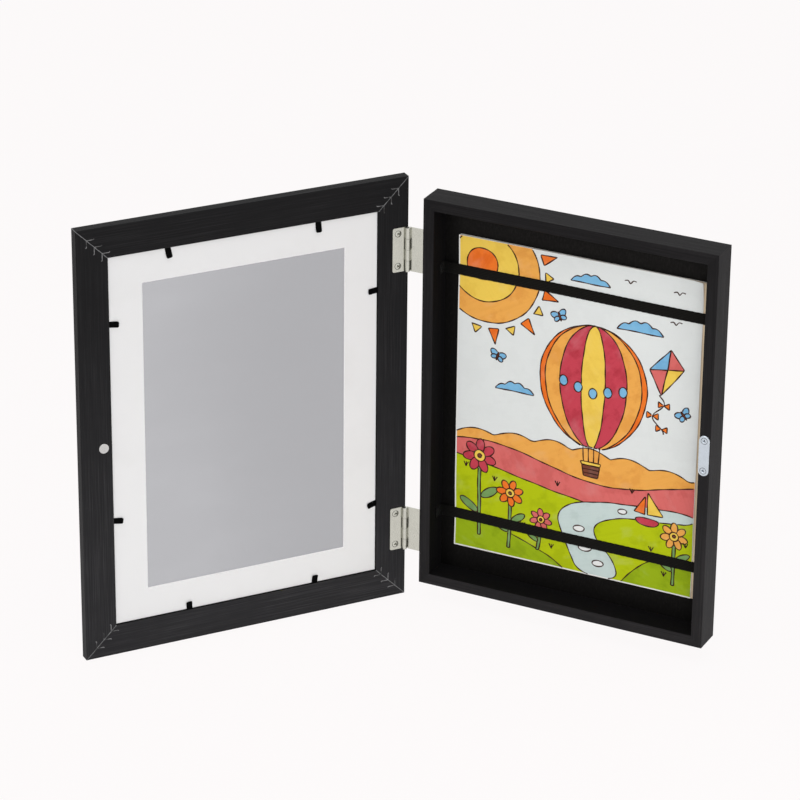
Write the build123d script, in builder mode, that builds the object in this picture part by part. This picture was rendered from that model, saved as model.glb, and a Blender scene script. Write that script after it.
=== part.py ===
"""Front-opening art frame for drawings: a shallow wall case and a hinged, glazed door that stands open.

The case stands in the row frame: X runs across it from the hinge side, Y points to the wall, Z up.
The origin is the middle of the case's rear plane. Every piece is drawn on the plane that carries it:
case_plane rises from the wall to the front, door_plane from the door's back face to its front face.
"""

import os

from build123d import *

os.makedirs("parts", exist_ok=True)

# Stored drawings, of letter size, which set the size of the whole frame
sheet_width = 215.9
sheet_height = 279.4
sheet_thickness = 0.4
stack_thickness = 2.6
sheet_shift_x = 2.3
sheet_shift_z = -0.8
stack_slip = 1.8
stack_drop = 0.3

# Case of four mitred rails round a back panel
side_room = 9.65
end_room = 22.4
case_depth = 26.0
case_wall = 9.4
case_edge_round = 0.5
back_edge_round = 0.4
panel_thickness = 3.0
panel_rabbet = 3.4
panel_play = 0.2

# Door of four mitred rails with a rabbet for the pane and the mat
door_overhang = 15.5
door_thickness = 10.0
door_back_width = 26.5
door_rabbet = 6.0
door_outer_round = 2.0
door_inner_chamfer = 1.2
closing_gap = 0.3
opening_angle = 127.8

# Pane and mat
pane_thickness = 1.5
mat_thickness = 1.5
mat_recess = 1.9
mat_play = 0.4
window_side_cover = 20.7
window_end_cover = 5.7

# Elastic bands across the drawings
band_width = 9.0
band_thickness = 0.8
band_end_distance = 30.6
band_drop = 1.0
band_tail = 9.0
band_bend = 1.5

# Staples that hold the bands and the back panel
staple_crown = 6.0
staple_wire = 0.7
band_staple_bite = 5.0
band_staple_inset = 3.0
panel_staple_bite = 8.0
panel_staple_shares = ((-0.3, 0.3), (-0.36, -0.12, 0.12, 0.36), (-0.3, 0.3), (-0.36, -0.12, 0.12, 0.36))

# Hinges
hinge_height = 38.1
hinge_end_distance = 43.0
hinge_inset = 1.6
leaf_thickness = 1.0
leaf_reach = 12.7
leaf_tail = 13.0
leaf_bend = 1.5
leaf_corner = 1.5
barrel_radius = 2.2
barrel_lift = 0.3
pin_radius = 1.1
pin_clearance = 0.05
knuckles = 4
knuckle_gap = 0.2
knuckle_relief = 0.3
door_leaf_seam = 0.5
case_leaf_seam = 1.9

# Countersunk screws of the hinges and the catch plate
screw_head_radius = 2.9
screw_head_height = 1.6
screw_head_bevel = 1.4
screw_head_sides = 20
screw_shank_radius = 1.3
screw_shank_sides = 6
screw_length = 7.0
leaf_screw_spread = 28.0
leaf_screw_line = 7.9

# Magnetic catch
plate_length = 35.0
plate_width = 9.0
plate_thickness = 1.2
plate_edge_gap = 0.4
plate_chamfer = 0.3
magnet_radius = 4.5
magnet_depth = 3.0
magnet_chamfer = 0.5
magnet_shift = 0.8
magnet_drop = 1.5

# Corner fasteners, driven into the mitres
vnail_wire = 0.6
vnail_lip = 0.7
door_vnail_leg = 5.8
door_vnail_depth = 6.5
door_vnail_first = 9.0
door_vnail_pitch = 6.4
door_vnails = 3
case_vnail_leg = 4.0
case_vnail_depth = 10.0
case_vnail_first = 3.0

# Flexible points that hold the mat and the pane in the door
point_width = 5.0
point_reach = 9.0
point_bite = 6.0
point_thickness = 0.4
point_corner = 1.2
point_shares = ((-0.215, 0.18), (-0.18, 0.277), (-0.225, 0.228), (-0.247, 0.263))

# Saw-tooth hangers, one for each way up, let in flush with the rear
hanger_length = 44.0
hanger_height = 8.0
hanger_edge = 1.0
hanger_thickness = 0.8
hanger_rise = 1.0
hanger_tab = 7.0
hanger_slope = 1.5
tooth_pitch = 3.0
tooth_depth = 1.5
teeth = 8
prong_width = 4.0
prong_length = 7.0
hanger_play = 0.2
nail_room = 5.0

# Sizes and places that follow
inner_width = sheet_width + 2 * side_room
case_width = inner_width + 2 * case_wall
case_height = sheet_height + 2 * (end_room + case_wall)
window_width = sheet_width - 2 * window_side_cover
window_height = sheet_height - 2 * window_end_cover
door_width = case_width + 2 * door_overhang
door_height = case_height + 2 * door_overhang
closed_gap = plate_thickness + closing_gap
pane_recess = mat_recess + mat_thickness
rabbet_depth = pane_recess + pane_thickness
rear_rim = case_wall - panel_rabbet
hanger_depth = hanger_rise + hanger_thickness
axis_lift = barrel_radius + barrel_lift
axis_x = hinge_inset - case_width / 2 - door_overhang
axis_y = axis_lift - case_depth - closed_gap
axis_to_case = door_overhang - hinge_inset
stack_level = panel_thickness + stack_thickness
sheet_level = stack_level + sheet_thickness
catch_line = plate_edge_gap + plate_width / 2
plate_screw_spread = plate_length - plate_width
hinge_floors = {
    "lower": hinge_end_distance - door_height / 2,
    "upper": door_height / 2 - hinge_end_distance - hinge_height,
}

case_plane = Plane(origin=(0, 0, 0), x_dir=(1, 0, 0), z_dir=(0, -1, 0))
closed_plane = case_plane.offset(case_depth + closed_gap)
opening = Location((axis_x, axis_y, 0), (0, 0, -opening_angle)) * Location((-axis_x, -axis_y, 0))
door_plane = Plane(opening * closed_plane.location)

# Order of the sides of a frame, anticlockwise as its plane shows it
side_names = ("bottom", "latch", "top", "hinge")
LATCH = side_names.index("latch")
TOP = side_names.index("top")
HINGE = side_names.index("hinge")


def save(piece, name):
    """Label a finished piece and write its file."""
    piece.part.label = name
    export_step(piece.part, f"parts/{name}.step")


def frame_sides(base, width, height):
    """Planes of the four sides of a frame with the length of each.

    A side's plane has its origin at the middle of the outer edge, x along the side, y inwards.
    """
    spans = ((width, height), (height, width), (width, height), (height, width))
    sides = []
    for index, (run, across) in enumerate(spans):
        quarter = Location((0, 0, 0), (0, 0, index * 90))
        sides.append((Plane(base.location * quarter * Location((0, -across / 2, 0))), run))
    return sides


case_sides = frame_sides(case_plane, case_width, case_height)
door_sides = frame_sides(door_plane, door_width, door_height)


def seat_at(plane, x, y):
    """A copy of a plane with its origin moved to a point of the plane."""
    return Plane(plane.location * Location((x, y, 0)))


def reversed_seat(plane, x, y):
    """A seat at a point of a plane that faces the other way."""
    return Plane(plane.location * Location((x, y, 0), (180, 0, 0)))


# Fasteners and inlays come first, because each rail is cut to fit those that it holds


with BuildPart() as screw:
    with BuildSketch():
        RegularPolygon(screw_head_radius, screw_head_sides)
    extrude(amount=-screw_head_height)
    under_head = screw.faces().sort_by(Axis.Z)[0]
    chamfer(under_head.edges(), length=screw_head_bevel)
    with BuildSketch(Plane.XY.offset(-screw_head_height)):
        RegularPolygon(screw_shank_radius, screw_shank_sides)
    extrude(amount=screw_head_height - screw_length)


def countersunk_screws(seats):
    """Identical screws with flush heads, one below each seat, on plain six-sided shanks."""
    with BuildPart() as screws:
        with Locations(*[seat.location for seat in seats]):
            add(screw.part)
    return screws


def wire_staples(seats, leg):
    """Identical staples, each with its crown on the seat's x axis and its legs along y."""
    outer = staple_crown / 2
    inner = outer - staple_wire
    with BuildPart() as staples:
        for seat in seats:
            with BuildSketch(seat):
                with BuildLine():
                    Polyline(
                        (-outer, 0),
                        (outer, 0),
                        (outer, leg),
                        (inner, leg),
                        (inner, staple_wire),
                        (-inner, staple_wire),
                        (-inner, leg),
                        (-outer, leg),
                        close=True,
                    )
                make_face()
            extrude(amount=staple_wire / 2, both=True)
    return staples


def corner_fasteners(sides, apexes, leg, depth):
    """V-shaped fasteners across the four mitres, their legs along the two rails and their lips turned out."""
    with BuildPart() as fasteners:
        for side, run in sides:
            with BuildSketch(side):
                for apex in apexes:
                    corner = run / 2 - apex
                    with BuildLine() as legs:
                        Polyline(
                            (corner - leg - vnail_lip, apex - vnail_lip),
                            (corner - leg, apex),
                            (corner, apex),
                            (corner, apex + leg),
                            (corner + vnail_lip, apex + leg + vnail_lip),
                        )
                    trace(legs.line, line_width=vnail_wire)
            extrude(amount=depth)
    return fasteners


door_apexes = [door_vnail_first + index * door_vnail_pitch for index in range(door_vnails)]
door_v_nails = corner_fasteners(door_sides, door_apexes, door_vnail_leg, door_vnail_depth)
save(door_v_nails, "door_v_nails")
case_v_nails = corner_fasteners(case_sides, [case_vnail_first], case_vnail_leg, case_vnail_depth)
save(case_v_nails, "case_v_nails")


# Staples through the back panel into the shoulder of each rail, their crowns sunk flush
panel_staple_seats = []
for (side, run), shares in zip(case_sides, panel_staple_shares):
    for share in shares:
        crown_middle = seat_at(side, share * run, case_wall - panel_rabbet / 2).origin
        panel_staple_seats.append(Plane(origin=crown_middle, x_dir=side.x_dir, z_dir=-side.y_dir))
panel_staples = wire_staples(panel_staple_seats, panel_thickness + panel_staple_bite)
save(panel_staples, "panel_staples")


# Flexible points, driven into the wall of the door's rabbet and lying on the mat
with BuildPart() as flexi_points:
    for (side, run), shares in zip(door_sides, point_shares):
        with BuildSketch(side.offset(mat_recess - point_thickness)):
            with Locations(*[(share * run, door_back_width) for share in shares]):
                with BuildSketch(mode=Mode.PRIVATE) as point:
                    with BuildLine():
                        Polyline(
                            (0, -point_bite),
                            (point_width / 2, -point_bite + point_width / 2),
                            (point_width / 2, point_reach - point_corner),
                            (point_width / 2 - point_corner, point_reach),
                            (point_corner - point_width / 2, point_reach),
                            (-point_width / 2, point_reach - point_corner),
                            (-point_width / 2, -point_bite + point_width / 2),
                            close=True,
                        )
                    make_face()
                add(point.sketch)
        extrude(amount=point_thickness)
save(flexi_points, "flexi_points")


# Catch magnet, let into the latch stile opposite the catch plate
latch_stile_side = door_sides[LATCH][0]
magnet_seat = seat_at(latch_stile_side, -magnet_drop, door_overhang + catch_line - magnet_shift)
with BuildPart() as magnet_pocket:
    with BuildSketch(magnet_seat):
        Circle(magnet_radius)
    extrude(amount=magnet_depth)
with BuildPart() as catch_magnet:
    add(magnet_pocket.part)
    shown_face = catch_magnet.faces().sort_by_distance(magnet_seat.origin)[0]
    chamfer(shown_face.edges(), length=magnet_chamfer)
save(catch_magnet, "catch_magnet")


# Catch plate on the front rim of the latch rail, with its two screws
latch_rim = case_sides[LATCH][0].offset(case_depth)
plate_top = latch_rim.offset(plate_thickness)
plate_seats = [seat_at(plate_top, way * plate_screw_spread / 2, catch_line) for way in (-1, 1)]
catch_plate_screws = countersunk_screws(plate_seats)
save(catch_plate_screws, "catch_plate_screws")
with BuildPart() as catch_plate:
    with BuildSketch(latch_rim):
        with Locations((0, catch_line)):
            SlotOverall(plate_length, plate_width)
    extrude(amount=plate_thickness)
    top_face = catch_plate.faces().filter_by(Axis.Y).sort_by(Axis.Y)[0]
    chamfer(top_face.edges(), length=plate_chamfer)
    add(catch_plate_screws.part, mode=Mode.SUBTRACT)
save(catch_plate, "catch_plate")


# Hinges: the door leaf lies flat on the back face, the case leaf bends back along the case's wall


def leaf_section(floor, angle):
    """Horizontal plane through the hinge axis at a hinge's lower end, turned with the leaf."""
    return Plane(Location((axis_x, axis_y, floor), (0, 0, -angle)))


def hinge_leaf(section, stops, bends, own, bore, seam, screws):
    """One leaf: a bent strip with rolled knuckles, notched round the knuckles of the other leaf.

    seam is the slot left open where the rolls end, as its lower and upper level in the section.
    """
    pitch = hinge_height / knuckles
    roll = pitch - knuckle_gap
    with BuildPart() as leaf:
        with BuildSketch(section):
            with BuildLine() as strip:
                if bends:
                    FilletPolyline(*stops, radius=leaf_bend)
                else:
                    Polyline(*stops)
            trace(strip.line, line_width=leaf_thickness)
        extrude(amount=hinge_height)
        free_end = section.from_local_coords(Vector(*stops[-1], hinge_height / 2))
        outline = leaf.faces().sort_by_distance(free_end)[0].edges()
        fillet(outline.filter_by(Axis.Z, reverse=True), radius=leaf_corner)
        clear_radius = barrel_radius + knuckle_relief
        for index in range(1 - own, knuckles, 2):
            with BuildSketch(section.offset(index * pitch)):
                if bends:
                    Circle(clear_radius)
                else:
                    Rectangle(2 * clear_radius, 2 * clear_radius)
            extrude(amount=pitch, mode=Mode.SUBTRACT)
        for index in range(own, knuckles, 2):
            with BuildSketch(section.offset(index * pitch + knuckle_gap / 2)):
                Circle(barrel_radius)
            extrude(amount=roll)
        low, high = seam
        with BuildSketch(section):
            Circle(bore)
            with Locations((barrel_radius, (low + high) / 2)):
                Rectangle(2 * barrel_radius, high - low)
        extrude(amount=hinge_height, mode=Mode.SUBTRACT)
        add(screws, mode=Mode.SUBTRACT)
    return leaf


door_leaf_stops = ((0, leaf_thickness / 2 - axis_lift), (leaf_reach, leaf_thickness / 2 - axis_lift))
door_leaf_face = leaf_thickness - axis_lift
door_seam = (door_leaf_face, door_leaf_face + door_leaf_seam)
flange_line = barrel_radius - leaf_thickness / 2
flange_face = barrel_radius - leaf_thickness
case_seam = (flange_face - case_leaf_seam, flange_face)
wing_line = axis_to_case - leaf_thickness / 2
case_leaf_stops = ((0, flange_line), (wing_line, flange_line), (wing_line, flange_line + leaf_tail))
wing_screw_line = case_depth + closed_gap - axis_lift - flange_line - (leaf_bend + leaf_tail) / 2
leaf_top = door_sides[HINGE][0].offset(-leaf_thickness)

door_leaf_seats = []
case_leaf_seats = []
for floor in hinge_floors.values():
    for way in (-1, 1):
        level = floor + hinge_height / 2 + way * leaf_screw_spread / 2
        door_leaf_seats.append(reversed_seat(leaf_top, -level, hinge_inset + leaf_screw_line))
        wing_point = (-case_width / 2 - leaf_thickness, -wing_screw_line, level)
        case_leaf_seats.append(Plane(origin=wing_point, x_dir=(0, 0, 1), z_dir=(-1, 0, 0)))
door_leaf_screws = countersunk_screws(door_leaf_seats)
save(door_leaf_screws, "door_leaf_screws")
case_leaf_screws = countersunk_screws(case_leaf_seats)
save(case_leaf_screws, "case_leaf_screws")

for place, floor in hinge_floors.items():
    door_section = leaf_section(floor, opening_angle)
    running_bore = pin_radius + pin_clearance
    door_cuts = (running_bore, door_seam, door_leaf_screws.part)
    door_leaf = hinge_leaf(door_section, door_leaf_stops, False, 1, *door_cuts)
    save(door_leaf, f"{place}_hinge_door_leaf")
    case_section = leaf_section(floor, 0)
    case_cuts = (pin_radius, case_seam, case_leaf_screws.part)
    case_leaf = hinge_leaf(case_section, case_leaf_stops, True, 0, *case_cuts)
    save(case_leaf, f"{place}_hinge_case_leaf")
    with BuildPart() as hinge_pin:
        with BuildSketch(case_section):
            Circle(pin_radius)
        extrude(amount=hinge_height)
    save(hinge_pin, f"{place}_hinge_pin")


# Elastic bands: across the drawings, then forward along the inner walls to their staples
band_level = sheet_level + band_thickness / 2
tail_level = band_level + band_tail
band_edge = (inner_width - band_thickness) / 2
band_reach = sheet_height / 2 - band_end_distance
band_centres = {"lower": -band_reach - band_drop, "upper": band_reach - band_drop}
staple_level = tail_level - band_staple_inset
crown_reach = inner_width / 2 - band_thickness - staple_wire
band_staple_seats = [
    Plane(origin=(way * crown_reach, -staple_level, height), x_dir=(0, 0, 1), z_dir=(0, way, 0))
    for height in band_centres.values()
    for way in (-1, 1)
]
elastic_staples = wire_staples(band_staple_seats, staple_wire + band_thickness + band_staple_bite)
save(elastic_staples, "elastic_staples")

for place, height in band_centres.items():
    with BuildPart() as elastic_band:
        with BuildSketch(Plane.XY.offset(height - band_width / 2)):
            with BuildLine() as strap:
                FilletPolyline(
                    (-band_edge, -tail_level),
                    (-band_edge, -band_level),
                    (band_edge, -band_level),
                    (band_edge, -tail_level),
                    radius=band_bend,
                )
            trace(strap.line, line_width=band_thickness)
        extrude(amount=band_width)
        add(elastic_staples.part, mode=Mode.SUBTRACT)
    save(elastic_band, f"{place}_elastic_band")


# Saw-tooth hangers in pockets of the rear, over the rims of the top and the latch rail


def hanger_pocket(side):
    """The space of a hanger, open below its teeth so that a nail's head can get in."""
    with BuildPart() as pocket:
        with BuildSketch(seat_at(side, 0, hanger_edge - hanger_play)):
            Rectangle(
                hanger_length + 2 * hanger_play,
                hanger_play + hanger_height + nail_room,
                align=(Align.CENTER, Align.MIN),
            )
        extrude(amount=hanger_depth)
    return pocket


def saw_tooth_hanger(side):
    """A strip with a raised middle, teeth on its inner edge and a prong in the wood at each end."""
    tab_end = hanger_length / 2 - hanger_tab
    bridge_end = tab_end - hanger_slope
    low = hanger_thickness / 2
    high = low + hanger_rise
    floor = side.offset(hanger_depth)
    outer_edge = seat_at(floor, 0, hanger_edge).origin
    brim = hanger_edge + hanger_height
    with BuildPart() as hanger:
        with BuildSketch(Plane(origin=outer_edge, x_dir=side.x_dir, z_dir=side.y_dir)):
            with BuildLine() as strip:
                Polyline(
                    (-hanger_length / 2, low),
                    (-tab_end, low),
                    (-bridge_end, high),
                    (bridge_end, high),
                    (tab_end, low),
                    (hanger_length / 2, low),
                )
            trace(strip.line, line_width=hanger_thickness)
        extrude(amount=hanger_height)
        with BuildSketch(side):
            for index in range(teeth):
                middle = (index - (teeth - 1) / 2) * tooth_pitch
                with BuildLine():
                    Polyline(
                        (middle - tooth_pitch / 2, brim),
                        (middle, brim - tooth_depth),
                        (middle + tooth_pitch / 2, brim),
                        close=True,
                    )
                make_face()
        extrude(amount=hanger_depth, mode=Mode.SUBTRACT)
        for way in (-1, 1):
            end = seat_at(floor, way * hanger_length / 2, rear_rim / 2).origin
            with BuildSketch(Plane(origin=end, x_dir=side.y_dir, z_dir=side.x_dir)):
                with BuildLine():
                    Polyline((-prong_width / 2, 0), (prong_width / 2, 0), (0, prong_length), close=True)
                make_face()
            extrude(amount=-way * hanger_thickness)
    return hanger


top_pocket = hanger_pocket(case_sides[TOP][0])
top_hanger = saw_tooth_hanger(case_sides[TOP][0])
save(top_hanger, "top_hanger")
side_pocket = hanger_pocket(case_sides[LATCH][0])
side_hanger = saw_tooth_hanger(case_sides[LATCH][0])
save(side_hanger, "side_hanger")


# Mitred rails: one profile run along the side and cut at both mitres


def mitred_rail(side, run, width, height, rabbet, outer_round, inner_chamfer, fittings):
    """A rail of a frame with its rabbet, its rounded edges and the seats of its fittings.

    width and height are the profile's, rabbet is its (width, depth) from the back, and fittings
    are the solids let into the rail.
    """
    rabbet_width, depth = rabbet
    section = Plane(origin=side.origin, x_dir=side.y_dir, z_dir=side.x_dir)
    with BuildPart() as rail:
        with BuildSketch(section) as profile:
            with BuildLine():
                Polyline(
                    (0, 0),
                    (width - rabbet_width, 0),
                    (width - rabbet_width, depth),
                    (width, depth),
                    (width, height),
                    (0, height),
                    close=True,
                )
            make_face()
            fillet(profile.vertices().group_by(Axis.Y)[-1].sort_by(Axis.X)[0], radius=outer_round)
            chamfer(profile.vertices().group_by(Axis.Y)[-1].sort_by(Axis.X)[-1], length=inner_chamfer)
            fillet(profile.vertices().group_by(Axis.Y)[0], radius=back_edge_round)
        extrude(amount=run / 2, both=True)
        for way in (-1, 1):
            corner = side.from_local_coords(Vector(way * run / 2, 0, 0))
            split(bisect_by=Plane(origin=corner, z_dir=side.x_dir * way + side.y_dir), keep=Keep.BOTTOM)
        for fitting in fittings:
            add(fitting.part, mode=Mode.SUBTRACT)
    return rail


door_fittings = (door_v_nails, flexi_points, door_leaf_screws, magnet_pocket)
case_fittings = (
    case_v_nails,
    panel_staples,
    elastic_staples,
    case_leaf_screws,
    catch_plate_screws,
    top_pocket,
    top_hanger,
    side_pocket,
    side_hanger,
)

for name, (side, run) in zip(side_names, door_sides):
    door_rail = mitred_rail(
        side,
        run,
        door_back_width + door_rabbet,
        door_thickness,
        (door_rabbet, rabbet_depth),
        door_outer_round,
        door_inner_chamfer,
        door_fittings,
    )
    save(door_rail, f"door_{name}_rail")

for name, (side, run) in zip(side_names, case_sides):
    case_rail = mitred_rail(
        side,
        run,
        case_wall,
        case_depth,
        (panel_rabbet, panel_thickness),
        case_edge_round,
        case_edge_round,
        case_fittings,
    )
    save(case_rail, f"case_{name}_rail")


# Back panel in the rear rabbet of the case
with BuildPart() as back_panel:
    with BuildSketch(case_plane):
        Rectangle(case_width - 2 * (rear_rim + panel_play), case_height - 2 * (rear_rim + panel_play))
    extrude(amount=panel_thickness)
    for fitting in (panel_staples, top_pocket, side_pocket):
        add(fitting.part, mode=Mode.SUBTRACT)
save(back_panel, "back_panel")


# Clear pane and window mat in the door's rabbet
mat_width = door_width - 2 * (door_back_width + mat_play)
mat_height = door_height - 2 * (door_back_width + mat_play)
with BuildPart() as clear_pane:
    with BuildSketch(door_plane.offset(pane_recess)):
        Rectangle(mat_width, mat_height)
    extrude(amount=pane_thickness)
save(clear_pane, "clear_pane")

with BuildPart() as mat_board:
    with BuildSketch(door_plane.offset(mat_recess)):
        Rectangle(mat_width, mat_height)
    extrude(amount=mat_thickness)
    with BuildSketch(door_plane.offset(mat_recess)):
        Rectangle(window_width, window_height)
    extrude(amount=mat_thickness, taper=-45, mode=Mode.SUBTRACT)
save(mat_board, "mat_board")


# Drawings on the back panel: a stored stack and the front sheet
with BuildPart() as stored_sheets:
    with BuildSketch(case_plane.offset(panel_thickness)):
        with Locations((sheet_shift_x + stack_slip, sheet_shift_z - stack_drop)):
            Rectangle(sheet_width, sheet_height)
    extrude(amount=stack_thickness)
save(stored_sheets, "stored_sheets")

with BuildPart() as art_sheet:
    with BuildSketch(case_plane.offset(stack_level)):
        with Locations((sheet_shift_x, sheet_shift_z)):
            Rectangle(sheet_width, sheet_height)
    extrude(amount=sheet_thickness)
save(art_sheet, "art_sheet")
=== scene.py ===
"""Dresses a front-opening art frame: a shallow case with stored drawings and an open, glazed door."""

import logging
import math
import random
from dataclasses import dataclass, field
from enum import Enum
from typing import Callable, Sequence, Union

import bmesh
import bpy
import numpy as np
from mathutils import Matrix, Vector
from mathutils.geometry import delaunay_2d_cdt


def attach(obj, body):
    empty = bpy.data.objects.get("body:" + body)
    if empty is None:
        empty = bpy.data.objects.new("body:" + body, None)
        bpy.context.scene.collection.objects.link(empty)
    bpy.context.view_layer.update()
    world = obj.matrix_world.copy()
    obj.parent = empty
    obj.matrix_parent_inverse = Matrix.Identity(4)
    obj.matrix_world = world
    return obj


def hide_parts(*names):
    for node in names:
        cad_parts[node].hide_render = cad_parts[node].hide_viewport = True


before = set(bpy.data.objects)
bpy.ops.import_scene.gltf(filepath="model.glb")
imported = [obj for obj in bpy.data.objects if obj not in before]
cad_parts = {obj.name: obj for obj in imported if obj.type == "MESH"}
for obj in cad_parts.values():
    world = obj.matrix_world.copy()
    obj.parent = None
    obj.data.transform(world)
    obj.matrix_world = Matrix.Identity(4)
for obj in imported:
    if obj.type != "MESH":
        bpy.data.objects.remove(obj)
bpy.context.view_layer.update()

LOG = logging.getLogger("art_frame")

Point2 = tuple[float, float]
Triple = tuple[float, float, float]
Colour = tuple[float, float, float]
Socket = bpy.types.NodeSocket
Value = Union[Socket, float, Sequence[float]]
Key = Union[str, int]
MM = 0.001
RIGHT = (1.0, 0.0, 0.0)
BACK = (0.0, 1.0, 0.0)
FORWARD = (0.0, -1.0, 0.0)
UP = (0.0, 0.0, 1.0)


class Side(Enum):
    """A side of a leaf, by its number of quarter turns from the bottom."""

    BOTTOM = 0
    LATCH = 1
    TOP = 2
    HINGE = 3


@dataclass(frozen=True)
class SidePlane:
    """Plane of one side of a leaf, with its origin at the middle of the outer edge.

    Attributes:
        origin: Middle of the outer edge, on the leaf's rear plane.
        run: Direction along the side.
        inward: Direction from the outer edge to the leaf's middle.
        out: Direction from the rear plane to the front.
        length: Outer length of the side.
    """

    origin: Vector
    run: Vector
    inward: Vector
    out: Vector
    length: float

    def at(self, along: float, across: float, lift: float = 0.0) -> Vector:
        """Point at a place along the side, across it and above the rear plane."""
        return self.origin + self.run * along + self.inward * across + self.out * lift


@dataclass(frozen=True)
class Leaf:
    """The case or the door as a rectangle on its rear plane.

    Attributes:
        body: Name of the body that the leaf's pieces ride on.
        centre: Middle of the rear plane.
        right: Direction from the hinge side to the latch side.
        out: Direction from the rear plane to the front.
        width: Outer width.
        height: Outer height.
    """

    body: str
    centre: Vector
    right: Vector
    out: Vector
    width: float
    height: float

    def side(self, side: Side) -> SidePlane:
        """Plane of one of the four sides.

        Args:
            side: Which side.

        Returns:
            The side's plane.
        """
        quarter = Matrix.Rotation(side.value * math.pi / 2, 3, self.out)
        upward = self.out.cross(self.right)
        length, across = (self.width, self.height) if side.value % 2 == 0 else (self.height, self.width)
        run, inward = quarter @ self.right, quarter @ upward
        return SidePlane(self.centre - inward * across / 2, run, inward, self.out, length)


@dataclass(frozen=True)
class Layout:
    """Sizes that the case, the door and the hinges share, in metres.

    Attributes:
        case_width: Outer width of the case.
        case_height: Outer height of the case.
        case_depth: Depth of the case.
        overhang: How far the door stands over the case on each side.
        closed_gap: Gap between the case and the shut door.
        axis_x: Place of the hinge axis across the case.
        axis_y: Place of the hinge axis in front of the wall.
        opening: Angle of the open door, in radians.
    """

    case_width: float = 0.254
    case_height: float = 0.343
    case_depth: float = 0.026
    overhang: float = 0.0155
    closed_gap: float = 0.0015
    axis_x: float = -0.1409
    axis_y: float = -0.025
    opening: float = math.radians(127.8)

    def case(self) -> Leaf:
        """The case's leaf, which stands in the wall's plane."""
        middle = Vector((0, 0, 0))
        return Leaf("case", middle, Vector(RIGHT), Vector(FORWARD), self.case_width, self.case_height)

    def door(self) -> Leaf:
        """The door's leaf as it stands open.

        Returns:
            The leaf, turned about the hinge axis.
        """
        swing = Matrix.Rotation(-self.opening, 3, "Z")
        pivot = Vector((self.axis_x, self.axis_y, 0))
        closed = Vector((0, -self.case_depth - self.closed_gap, 0))
        middle = pivot + swing @ (closed - pivot)
        width, height = self.case_width + 2 * self.overhang, self.case_height + 2 * self.overhang
        return Leaf("door", middle, swing @ Vector(RIGHT), swing @ Vector(FORWARD), width, height)


class NodeGraph:
    """A node tree under construction."""

    def __init__(self, tree: bpy.types.NodeTree) -> None:
        """Takes a tree and empties it."""
        self.tree = tree
        self.tree.nodes.clear()

    def feed(self, node: bpy.types.Node, key: Key, value: Value) -> None:
        """Links a socket to an input or sets the input to a constant.

        Args:
            node: Node whose input is fed.
            key: Name or number of the input.
            value: Socket to link, or a number or colour to set.
        """
        if isinstance(value, bpy.types.NodeSocket):
            self.tree.links.new(value, node.inputs[key])
            return
        target = node.inputs[key]
        if hasattr(target.default_value, "__len__") and len(target.default_value) == 4 and len(value) == 3:
            value = (*value, 1.0)
        target.default_value = value

    def node(self, kind: str, inputs: dict[Key, Value], **settings: object) -> bpy.types.Node:
        """Adds a node.

        Args:
            kind: Node type without its ShaderNode prefix.
            inputs: Values of its inputs.
            settings: Values of its own properties.

        Returns:
            The new node.
        """
        node = self.tree.nodes.new("ShaderNode" + kind)
        for key, value in settings.items():
            setattr(node, key, value)
        for key, value in inputs.items():
            self.feed(node, key, value)
        return node

    def math(self, operation: str, first: Value, second: Value = 0.0) -> Socket:
        """Result of a math node."""
        return self.node("Math", {0: first, 1: second}, operation=operation).outputs[0]

    def product(self, first: Value, second: Value) -> Socket:
        """One number times another."""
        return self.math("MULTIPLY", first, second)

    def total(self, first: Value, second: Value) -> Socket:
        """Sum of two numbers."""
        return self.math("ADD", first, second)

    def difference(self, first: Value, second: Value) -> Socket:
        """One number less another."""
        return self.math("SUBTRACT", first, second)

    def vector(self, operation: str, first: Value, second: Value) -> Socket:
        """Result of a vector math node that gives a vector."""
        return self.node("VectorMath", {0: first, 1: second}, operation=operation).outputs[0]

    def dot(self, vector: Value, axis: Sequence[float]) -> Socket:
        """Length of a vector along an axis."""
        return self.node("VectorMath", {0: vector, 1: axis}, operation="DOT_PRODUCT").outputs["Value"]

    def seen(self) -> Socket:
        """Tells rays that show the backdrop as it is: to the camera, in gloss or through glass.

        Returns:
            The socket, 1 for such a ray.
        """
        path = self.node("LightPath", {}).outputs
        mirrored = self.math("MAXIMUM", path["Is Camera Ray"], path["Is Glossy Ray"])
        return self.math("MAXIMUM", mirrored, path["Is Transmission Ray"])


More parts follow.
